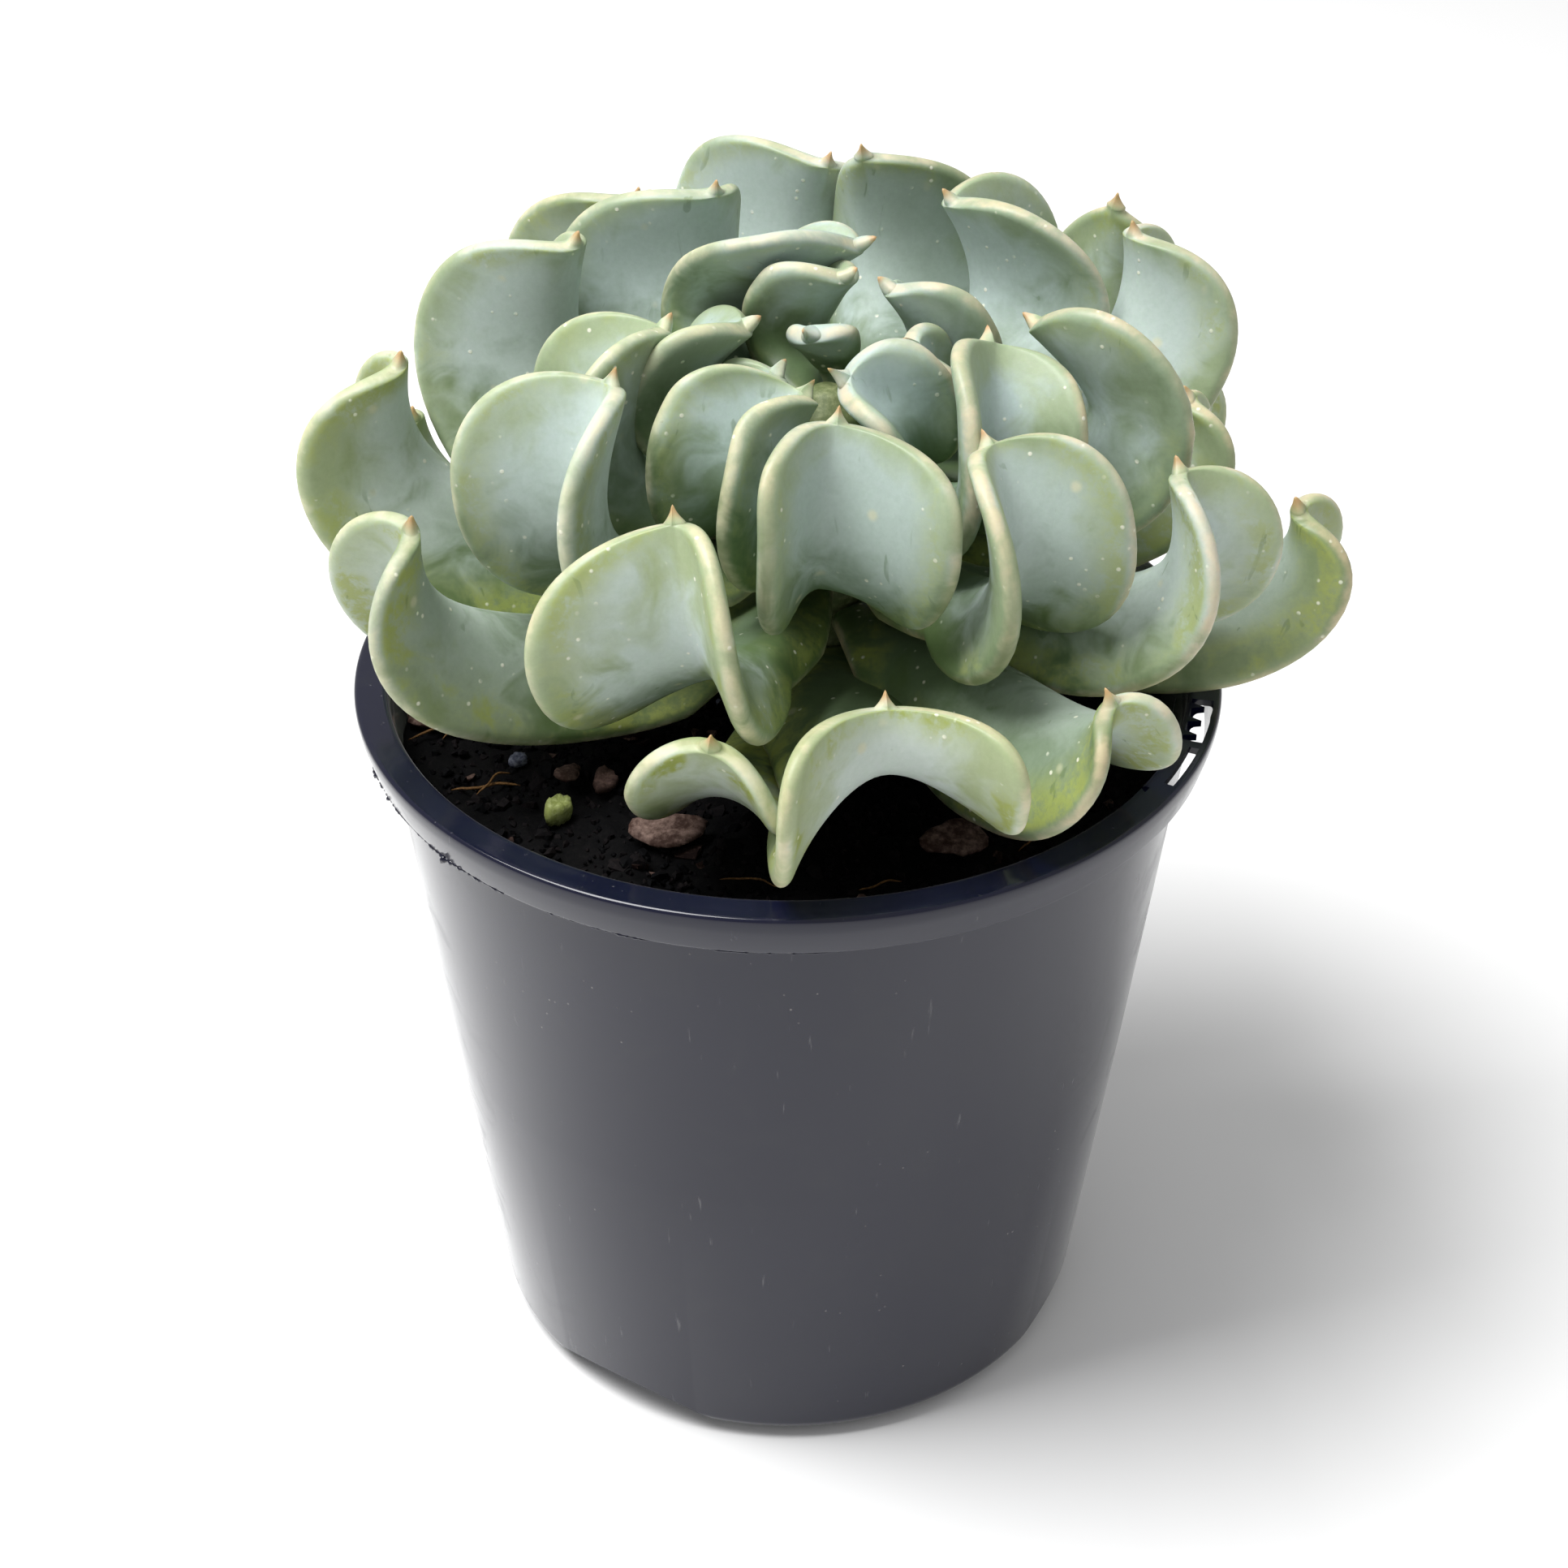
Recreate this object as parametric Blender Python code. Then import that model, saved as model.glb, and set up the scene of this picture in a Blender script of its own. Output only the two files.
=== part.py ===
"""A succulent rosette with curled, folded-back leaves in a round nursery pot. Metres, +Z up, foot on Z = 0."""

import math

import bpy
import numpy as np

MM = 0.001

# Pot, in millimetres. Radii are measured from the pot's axis, heights from its foot.
POT_HEIGHT = 125.5
POT_SIDES = 48
RIM_RADIUS = 70.0
RIM_THICKNESS = 1.2
SKIRT_DEPTH = 7.15
SKIRT_TAPER = 1.5
RIM_OVERHANG = 4.2
WALL = 1.2
WALL_TOP_RADIUS = RIM_RADIUS - RIM_OVERHANG
WALL_FOOT_RADIUS = 51.8
WAIST_HEIGHT = 60.0
FOOT_CHAMFER = 5.8
FOOT_FLAT_RADIUS = WALL_FOOT_RADIUS - FOOT_CHAMFER
FLOOR_THICKNESS = 1.5

# Drainage cut-outs round the foot and label slots in the rim, each as (angle, length).
DRAINS = ((-123.0, 40.0), (-20.0, 40.0), (60.0, 40.0), (150.0, 40.0))
DRAIN_HEIGHT = 5.0
DRAIN_INSET = 2.0
SLOTS = ((-16.0, 11.0), (-28.5, 8.0))
SLOT_WIDTH = 2.4
SLOT_INSET = 2.9

# Potting mix, filled to a little below the rim.
SOIL_DROP = 13.5
SOIL_LEVEL = POT_HEIGHT - SOIL_DROP
SOIL_GAP = 0.3
SOIL_MOUND = 1.0
SOIL_RINGS = (0.25, 0.5, 0.74, 0.93)
SOIL_WAVE = 0.7
FLAT_CORE = 13.0

# Stem as (radius, height above the mix). The rosette stands a little off the pot's axis.
ROSETTE_X = 6.0
ROSETTE_Y = 6.0
STEM_SIDES = 12
STEM_RINGS = ((7.0, 1.4), (6.5, 12.0), (6.5, 51.0), (5.6, 56.0), (2.6, 59.5))

# Leaves.
LEAF_ROOT_RADIUS = 7.0
LEAF_STATIONS = 10
LEAF_ACROSS = 7
LEAF_THICKNESS = 3.0
ROOT_SHARE = 0.22
STALK_SHARE = 0.44
TIP_SHARE = 0.04

# name: (turn, root height, bend (r, h), tip (r, h), sway, half widths, folds, extra)
# turn runs round from the front, r is from the rosette's middle, and h is above the mix.
LEAVES = {
    "leaf_01": (-18, 7, (56, 18), (64, 33), 4, (14, 14), (45, 45),
                {"widest": 0.75, "neck": 0.5, "hug": 2.5}),
    "leaf_02": (98, 27, (64, 38), (57, 56), 0, (13, 11), (55, 55), {}),
    "leaf_03": (-130, 13, (78, 22), (77, 36), 0, (14, 14), (55, 55), {}),
    "leaf_04": (-113, 17, (76, 24), (72, 44), 4, (13, 12), (55, 55), {}),
    "leaf_05": (160, 14, (78, 27), (74, 54), 0, (16, 16), (55, 55), {}),
    "leaf_06": (-70, 19, (72, 28), (69, 56), 11, (17, 19), (62, 52), {}),
    "leaf_07": (-172, 18, (80, 25), (76, 50), 0, (16, 15), (55, 55), {}),
    "leaf_08": (128, 19, (81, 24), (79, 42), 0, (15, 14), (55, 55), {}),
    "leaf_09": (6, 15, (70, 29), (63, 44), 1, (27, 25), (38, 34),
                {"widest": 0.8, "neck": 0.55, "hug": 2.5, "keel": 5, "curl": 0.9,
                 "roll": 8, "point": 0.8}),
    "leaf_10": (40, 22, (76, 30), (70, 42), -8, (21, 18), (52, 52), {}),
    "leaf_11": (86, 24, (80, 26), (73, 46), -5, (18, 17), (55, 55), {}),
    "leaf_12": (-97, 23, (72, 36), (65, 66), 8, (13, 22), (75, 55), {}),
    "leaf_13": (140, 30, (74, 34), (69, 71), -6, (18, 16), (60, 10), {"point": 1.0}),
    "leaf_14": (-150, 25, (76, 33), (62, 70), 0, (14, 25), (55, 45), {}),
    "leaf_15": (60, 30, (68, 35), (56, 60), 6, (18, 19), (45, 50), {}),
    "leaf_16": (-16, 29, (64, 33), (53, 66), -8, (26, 18), (26, 55), {}),
    "leaf_17": (118, 33, (63, 48), (58, 74), 4, (20, 18), (32, 75),
                {"widest": 0.7, "neck": 0.4}),
    "leaf_18": (168, 36, (64, 43), (53, 78), 5, (24, 7), (20, 40), {"point": 0.8}),
    "leaf_19": (-125, 31, (62, 38), (49, 73), -1, (10, 24), (60, 62), {}),
    "leaf_20": (-172, 40, (72, 42), (61, 71), -10, (7, 26), (40, 50), {}),
    "leaf_21": (38, 35, (57, 39), (37, 68), -1, (18, 18), (50, 45), {}),
    "leaf_22": (-52, 35, (54, 41), (38, 74), -2, (23, 18), (45, 50), {}),
    "leaf_23": (-155, 45, (55, 49), (46, 76), -2, (6, 26), (60, 32), {}),
    "leaf_24": (135, 45, (54, 49), (41, 76), 14, (22, 20), (5, 85), {}),
    "leaf_25": (-3, 39, (43, 40), (32, 73), 3, (17, 24), (60, 30), {"curl": 1.0}),
    "leaf_26": (80, 43, (56, 53), (29, 71), 8, (14, 18), (62, 15), {}),
    "leaf_27": (-80, 41, (40, 42), (23, 69), -7, (20, 9), (45, 50), {}),
    "leaf_28": (45, 48, (38, 47), (21, 73), 13, (17, 13), (35, 58), {}),
    "leaf_29": (-34, 45, (31, 45), (11, 67), 5, (18, 12), (38, 85), {}),
    "leaf_30": (-100, 46, (29, 52), (11, 69), -4, (13, 12), (10, 45), {}),
    "leaf_31": (-150, 52, (36, 59), (15, 76), -18, (14, 23), (80, 14), {}),
    "leaf_32": (-160, 56, (23, 61), (8, 76), -8, (8, 13), (70, 10), {}),
    "leaf_33": (115, 48, (32, 56), (12, 72), 7, (16, 14), (45, 15), {}),
    "leaf_34": (50, 53, (22, 54), (9, 70), -11, (11, 11), (50, 50), {}),
    "leaf_35": (95, 54, (21, 54), (11, 70), -5, (7, 7), (50, 50), {}),
    "leaf_36": (-65, 51, (16, 53), (7, 66), 0, (8, 9), (45, 45), {}),
    "leaf_37": (170, 56, (12, 59), (0, 69), 4, (5, 5), (30, 30), {}),
}


def material(name, color, roughness):
    made = bpy.data.materials.new(name)
    made.use_nodes = True
    shader = made.node_tree.nodes["Principled BSDF"]
    shader.inputs["Base Color"].default_value = (*color, 1.0)
    shader.inputs["Roughness"].default_value = roughness
    return made


def add_mesh(name, points, faces, look):
    """A new object from points in millimetres."""
    mesh = bpy.data.meshes.new(name)
    mesh.from_pydata([tuple(float(v) * MM for v in p) for p in points], [], faces)
    mesh.materials.append(look)
    mesh.update()
    made = bpy.data.objects.new(name, mesh)
    bpy.context.scene.collection.objects.link(made)
    return made


def lathe(name, profile, sides, look):
    """Turns a closed (radius, height) profile, given from the axis outwards, about Z."""
    points, rings = [], []
    for radius, height in profile:
        if radius == 0.0:
            rings.append([len(points)] * sides)
            points.append((0.0, 0.0, height))
            continue
        rings.append(list(range(len(points), len(points) + sides)))
        for i in range(sides):
            angle = 2.0 * math.pi * i / sides
            points.append((radius * math.cos(angle), radius * math.sin(angle), height))
    faces = []
    for low, high in zip(rings, rings[1:]):
        for i in range(sides):
            j = (i + 1) % sides
            corners = [low[i], low[j], high[j], high[i]]
            faces.append([c for n, c in enumerate(corners) if c not in corners[:n]])
    return add_mesh(name, points, faces, look)


def cutter(name, points, faces):
    made = add_mesh(name, points, faces, PLAIN)
    made.hide_render = True
    made.display_type = "WIRE"
    return made


def arc_cutter(name, angle, length, inner, outer, low, high, ends):
    """A box bent round the pot's axis, centred on an angle in degrees. Its top slopes down to each end."""
    steps = 4
    half = math.degrees(length / (inner + outer))
    points, faces = [], []
    for i in range(steps + 1):
        turn = math.radians(angle - half + 2.0 * half * i / steps)
        top = ends if i in (0, steps) else high
        for radius, height in ((inner, low), (outer, low), (outer, top), (inner, top)):
            points.append((radius * math.cos(turn), radius * math.sin(turn), height))
    for i in range(steps):
        a, b = 4 * i, 4 * i + 4
        for j in range(4):
            k = (j + 1) % 4
            faces.append([a + j, a + k, b + k, b + j][::-1])
    faces.append([0, 1, 2, 3])
    faces.append([4 * steps + j for j in (3, 2, 1, 0)])
    return cutter(name, points, faces)


def subtract(target, tool):
    step = target.modifiers.new(tool.name, "BOOLEAN")
    step.operation = "DIFFERENCE"
    step.solver = "EXACT"
    step.object = tool


def wall_radius(height):
    """Outer radius of the tapered wall at a height."""
    share = height / (POT_HEIGHT - RIM_THICKNESS)
    return WALL_FOOT_RADIUS + (WALL_TOP_RADIUS - WALL_FOOT_RADIUS) * share


def pot():
    under_rim = POT_HEIGHT - RIM_THICKNESS
    skirt_foot = POT_HEIGHT - SKIRT_DEPTH
    skirt_radius = RIM_RADIUS - SKIRT_TAPER
    mouth = WALL_TOP_RADIUS - WALL
    profile = [
        (0.0, 0.0),
        (FOOT_FLAT_RADIUS, 0.0),
        (FOOT_FLAT_RADIUS + 0.62 * FOOT_CHAMFER, 0.9),
        (WALL_FOOT_RADIUS, 3.6),
        (wall_radius(WAIST_HEIGHT), WAIST_HEIGHT),
        (WALL_TOP_RADIUS, under_rim),
        (RIM_RADIUS - RIM_THICKNESS, under_rim),
        (skirt_radius - RIM_THICKNESS, skirt_foot),
        (skirt_radius, skirt_foot),
        (RIM_RADIUS, POT_HEIGHT - 0.6 * RIM_THICKNESS),
        (RIM_RADIUS - 0.5, POT_HEIGHT),
        (mouth + 0.5, POT_HEIGHT),
        (mouth, POT_HEIGHT - 0.5),
        (wall_radius(POT_HEIGHT - 5.0) - WALL, POT_HEIGHT - 5.0),
        (wall_radius(WAIST_HEIGHT) - WALL, WAIST_HEIGHT),
        (WALL_FOOT_RADIUS - WALL, FLOOR_THICKNESS + 2.7),
        (FOOT_FLAT_RADIUS + 2.2, FLOOR_THICKNESS + 0.7),
        (FOOT_FLAT_RADIUS - 1.0, FLOOR_THICKNESS),
        (0.0, FLOOR_THICKNESS),
    ]
    made = lathe("pot", profile, POT_SIDES, BLACK_PLASTIC)
    for n, (angle, length) in enumerate(DRAINS):
        tool = arc_cutter(
            f"drain_{n + 1}", angle, length, FOOT_FLAT_RADIUS - DRAIN_INSET,
            WALL_FOOT_RADIUS + 4.0, -2.0, DRAIN_HEIGHT, -0.5,
        )
        subtract(made, tool)
    slot_radius = RIM_RADIUS - SLOT_INSET
    for n, (angle, length) in enumerate(SLOTS):
        above = POT_HEIGHT + 2.0
        tool = arc_cutter(
            f"slot_{n + 1}", angle, length, slot_radius - SLOT_WIDTH / 2.0,
            slot_radius + SLOT_WIDTH / 2.0, under_rim - 2.0, above, above,
        )
        subtract(made, tool)
    return made


def soil():
    edge = wall_radius(SOIL_LEVEL) - WALL - SOIL_GAP - 0.2
    floor = FLOOR_THICKNESS + SOIL_GAP
    profile = [
        (0.0, floor),
        (FOOT_FLAT_RADIUS - 2.4, floor),
        (FOOT_FLAT_RADIUS + 1.2, floor + 1.1),
        (WALL_FOOT_RADIUS - WALL - SOIL_GAP - 0.5, floor + 3.8),
        (edge, SOIL_LEVEL - 1.5),
    ]
    profile += [(edge * share, SOIL_LEVEL) for share in reversed(SOIL_RINGS)]
    profile.append((0.0, SOIL_LEVEL + SOIL_MOUND))
    made = lathe("soil", profile, POT_SIDES, POTTING_MIX)
    for vertex in made.data.vertices:
        x, y, z = (v / MM for v in vertex.co)
        if z > SOIL_LEVEL - 0.5 and math.hypot(x, y) > FLAT_CORE:
            wave = math.sin(0.21 * x + 1.3) + math.sin(0.17 * y - 0.13 * x)
            vertex.co.z += SOIL_WAVE * wave * MM
    return made


def stem():
    points, faces = [], []
    for radius, height in STEM_RINGS:
        for i in range(STEM_SIDES):
            angle = 2.0 * math.pi * i / STEM_SIDES
            points.append((
                ROSETTE_X + radius * math.cos(angle),
                ROSETTE_Y + radius * math.sin(angle),
                SOIL_LEVEL + height,
            ))
    for ring in range(len(STEM_RINGS) - 1):
        for i in range(STEM_SIDES):
            j = (i + 1) % STEM_SIDES
            low, high = ring * STEM_SIDES, (ring + 1) * STEM_SIDES
            faces.append([low + i, low + j, high + j, high + i])
    faces.append(list(reversed(range(STEM_SIDES))))
    last = (len(STEM_RINGS) - 1) * STEM_SIDES
    faces.append([last + i for i in range(STEM_SIDES)])
    return add_mesh("stem", points, faces, STEM_LOOK)


def unit(vectors):
    return vectors / np.linalg.norm(vectors, axis=-1, keepdims=True)


def midrib(root, bend, tip, hug):
    """Points of the leaf's centre line as (r, z), and the length run at each."""
    t = np.linspace(0.0, 1.0, 161)[:, None]
    a, b, c = (1 - t) ** 2, 2 * hug * t * (1 - t), t**2
    line = (a * np.array(root) + b * np.array(bend) + c * np.array(tip)) / (a + b + c)
    steps = np.linalg.norm(np.diff(line, axis=0), axis=1)
    return line, np.concatenate([[0.0], np.cumsum(steps)])


def outline(s, widest, neck, point):
    """Share of the half width at each share of the length."""
    x = np.clip((s - neck) / (widest - neck), 0.0, 1.0)
    y = np.clip((s - widest) / (1.0 - widest), 0.0, 1.0)
    stalk = np.interp(s, [0.0, 0.2], [ROOT_SHARE, STALK_SHARE])
    rise = stalk + (1.0 - stalk) * (3 * x**2 - 2 * x**3)
    return np.where(s < widest, rise, np.maximum((1 - y**2) ** point, TIP_SHARE))


def leaf_surfaces(turn, root_z, bend, tip, sway, halves, folds, extra, stations, across):
    """Upper and lower faces of one leaf, as grids of points from root to tip and from left to right."""
    hug = extra.get("hug", 1.5)
    widest = extra.get("widest", 0.62)
    keel = extra.get("keel", 3.0)
    curl = extra.get("curl", 0.6)
    angle = math.radians(turn)
    out = np.array([math.sin(angle), -math.cos(angle), 0.0])
    side = np.array([math.cos(angle), math.sin(angle), 0.0])
    up = np.array([0.0, 0.0, 1.0])
    line, run = midrib((LEAF_ROOT_RADIUS, root_z), bend, tip, hug)
    length = run[-1]
    low = (stations + 1) // 2
    s = np.concatenate([
        np.linspace(0.0, widest, low, endpoint=False),
        widest + (1.0 - widest) * np.sin(np.linspace(0.0, math.pi / 2, stations - low)),
    ])

    def at(share):
        where = np.clip(share, 0.0, 1.0) * length
        return np.stack([np.interp(where, run, line[:, 0]), np.interp(where, run, line[:, 1])], 1)

    centre = at(s)
    slope = unit(at(s + 0.01) - at(s - 0.01))
    middle = np.array([ROSETTE_X, ROSETTE_Y, SOIL_LEVEL]) + centre[:, :1] * out + centre[:, 1:] * up
    middle = middle + (sway * s**2)[:, None] * side
    along = slope[:, :1] * out + slope[:, 1:] * up + (2 * sway * s / length)[:, None] * side
    along = unit(along)
    face = slope[:, :1] * up - slope[:, 1:] * out
    across_dir = unit(np.cross(face, along))
    face = unit(np.cross(along, across_dir))
    roll = math.radians(extra.get("roll", 0.0)) * np.clip(s / widest, 0.0, 1.0)
    c, d = np.cos(roll)[:, None], np.sin(roll)[:, None]
    across_dir, face = across_dir * c + face * d, face * c - across_dir * d

    share = outline(s, widest, extra.get("neck", 0.25), extra.get("point", 0.62))
    folding = np.clip(s / 0.35, 0.0, 1.0)
    u = np.sin(np.linspace(-math.pi / 2, math.pi / 2, across))
    thick = LEAF_THICKNESS * np.interp(s, [0, 0.2, 0.6, 0.97, 1], [0.8, 1.05, 1.0, 0.75, 0.4])
    body = np.clip(1 - u**2, 0.0, 1.0) ** 0.275 * (1 - 0.25 * np.abs(u))
    grid = np.zeros((stations, across, 3))
    normal = np.zeros((stations, across, 3))
    for i in range(stations):
        for j in range(across):
            hand = 0 if u[j] < 0 else 1
            sign = -1.0 if u[j] < 0 else 1.0
            t = np.linspace(0.0, abs(u[j]) * halves[hand] * share[i], 25)
            bent = folds[hand] * (1 - np.exp(-t / keel)) + curl * t
            bent = np.radians(bent * folding[i])
            mid, step = (bent[1:] + bent[:-1]) / 2, np.diff(t)
            reach, drop = (np.cos(mid) * step).sum(), (np.sin(mid) * step).sum()
            grid[i, j] = middle[i] + across_dir[i] * sign * reach - face[i] * drop
            normal[i, j] = face[i] * math.cos(bent[-1]) + across_dir[i] * sign * math.sin(bent[-1])
    offset = normal * (thick[:, None] * body[None, :] / 2)[..., None]
    return grid + offset, grid - offset


def leaf(name, spec):
    top, bottom = leaf_surfaces(*spec, LEAF_STATIONS, LEAF_ACROSS)
    n = LEAF_ACROSS
    around = 2 * n - 2
    points, faces = [], []
    for i in range(LEAF_STATIONS - 1):
        points += [top[i, j] for j in range(n)]
        points += [bottom[i, j] for j in range(n - 2, 0, -1)]
    tip = len(points)
    points.append((top[-1, n // 2] + bottom[-1, n // 2]) / 2)
    for i in range(LEAF_STATIONS - 2):
        a, b = i * around, (i + 1) * around
        for j in range(around):
            k = (j + 1) % around
            faces.append([a + j, b + j, b + k, a + k])
    last = (LEAF_STATIONS - 2) * around
    for j in range(around):
        faces.append([last + j, tip, last + (j + 1) % around])
    for j in range(n - 1):
        quad = [j, j + 1, (around - j - 1) % around, (around - j) % around]
        faces.append([c for m, c in enumerate(quad) if c not in quad[:m]])
    return add_mesh(name, points, faces, LEAF_LOOK)


for old in list(bpy.data.objects):
    bpy.data.objects.remove(old)

PLAIN = material("plain", (0.5, 0.5, 0.5), 0.5)
BLACK_PLASTIC = material("black_plastic", (0.03, 0.032, 0.038), 0.35)
POTTING_MIX = material("potting_mix", (0.035, 0.025, 0.02), 0.95)
STEM_LOOK = material("stem_green", (0.3, 0.36, 0.2), 0.7)
LEAF_LOOK = material("leaf_green", (0.42, 0.5, 0.42), 0.6)

pot()
soil()
stem()
for leaf_name, leaf_spec in LEAVES.items():
    leaf(leaf_name, leaf_spec)
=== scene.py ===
"""A succulent rosette with curled, folded-back leaves in a round black nursery pot."""
import math

import bpy
import numpy as np
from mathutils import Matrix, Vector


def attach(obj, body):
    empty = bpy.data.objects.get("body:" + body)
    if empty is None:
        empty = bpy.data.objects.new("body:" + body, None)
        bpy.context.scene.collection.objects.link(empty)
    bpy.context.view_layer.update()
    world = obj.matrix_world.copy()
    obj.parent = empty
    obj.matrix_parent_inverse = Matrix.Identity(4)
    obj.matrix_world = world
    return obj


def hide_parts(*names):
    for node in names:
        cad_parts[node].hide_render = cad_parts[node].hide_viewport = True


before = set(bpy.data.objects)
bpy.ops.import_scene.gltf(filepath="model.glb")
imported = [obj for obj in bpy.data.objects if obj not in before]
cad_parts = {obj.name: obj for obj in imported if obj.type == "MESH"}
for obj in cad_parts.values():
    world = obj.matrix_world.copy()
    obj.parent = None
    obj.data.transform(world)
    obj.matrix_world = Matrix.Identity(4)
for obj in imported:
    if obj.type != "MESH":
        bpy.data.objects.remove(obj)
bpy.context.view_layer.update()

MM = 0.001

# Pot, in millimetres. Angles run from +X towards +Y, in degrees.
POT_HEIGHT = 125.5
RIM_RADIUS = 70.0
RIM_THICKNESS = 1.2
SKIRT_DEPTH = 7.15
SKIRT_TAPER = 1.5
SKIRT_RADIUS = RIM_RADIUS - SKIRT_TAPER
SKIRT_FOOT = POT_HEIGHT - SKIRT_DEPTH
WALL = 1.2
WALL_TOP_RADIUS = 65.8
WALL_FOOT_RADIUS = 51.8
WAIST_HEIGHT = 60.0
FOOT_FLAT_RADIUS = 46.0
FOOT_TURN_WIDTH, FOOT_TURN_RISE = 3.4, 0.9
FOOT_EDGE_HEIGHT = 3.6
FLOOR_THICKNESS = 1.5
CORNER_ROUND = 0.9
POT_SIDES = 288
SHARP_ANGLE = 38

# Roofed cut-outs in the foot: (middle angle, length along the foot).
DRAINS = ((-123.0, 40.0), (-20.0, 40.0), (60.0, 40.0), (150.0, 40.0))
DRAIN_HEIGHT = 7.0
DRAIN_SILL = 0.6
DRAIN_SIDES = (44.0, 56.0)
ROOF_THICKNESS = 1.3
ROOF_SIDES = (42.8, WALL_FOOT_RADIUS - 1.3)
ROOF_INSET = 3.5

# Label openings in the rim: (start angle, stop angle, inner radius, outer radius).
LABEL_HOLE = (-20.5, -10.0, 65.3, 68.7)
LABEL_SLOT = (-31.5, -22.0, 67.1, 68.7)
LABEL_RECESS = (-40.0, -33.5, 63.9, 65.9)
LABEL_RECESS_DEPTH = 0.6
BARB_LENGTH = 2.1

# Moulding flash under the skirt: (start angle, stop angle, size).
FLASH_ARCS = ((-172.0, -128.0, 2.0), (-127.0, -84.0, 1.1))

# Potting mix and stem.
SOIL_LEVEL = POT_HEIGHT - 13.5
SOIL_EDGE = 62.9
SOIL_RINGS = 90
SOIL_SIDES = 200
SOIL_UNDERSIDE = 1.8
SOIL_FLANKS = ((SOIL_EDGE, SOIL_LEVEL - 4.0), (WALL_FOOT_RADIUS - 1.2, 9.6), (42.4, 9.2),
               (41.6, SOIL_UNDERSIDE))
ROSETTE_X = 6.0
ROSETTE_Y = 6.0
STEM_PROFILE = ((7.0, 1.4), (6.5, 12.0), (6.5, 51.0), (5.6, 56.0), (2.6, 59.5))

# Leaves.
LEAF_ROOT_RADIUS = 7.0
LEAF_STATIONS = 72
LEAF_ACROSS = 49
LEAF_THICKNESS = 4.0
EDGE_ROUND = 2.2
ROOT_SHARE = 0.22
FOLDED_FROM = 0.35
FOLD_STEPS = 32
OLDEST_ROOT = 10.0
AGE_SPAN = 42.0
SPUR_LENGTH = 2.6
SPUR_BASE = 1.7
SPUR_STATIONS = 7
TIP_SHARE = 0.004

# What a leaf has where its entry in LEAVES says nothing else.
USUAL_LEAF = {
    "hug": 1.5,  # pull of the midrib towards its bend
    "stalk": 0.55,  # share of the half width near the stem
    "neck": 0.25, "widest": 0.62, "flat": 0.05,  # shares of the length: see outline
    "disc": 0.0, "point": 0.42,
    "keel": 3.0,  # mm beside the midrib in which a lobe folds
    "curl": 0.6,  # degrees of further turn in each mm
    "roll": 0.0,  # degrees of twist at the widest place
    "wave": 0.65,  # height of the margin's waves in mm
    "bare": (0.0, 0.0),  # bloom lost on each lobe, and painted shade on lobes that lie in shade
}

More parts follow.
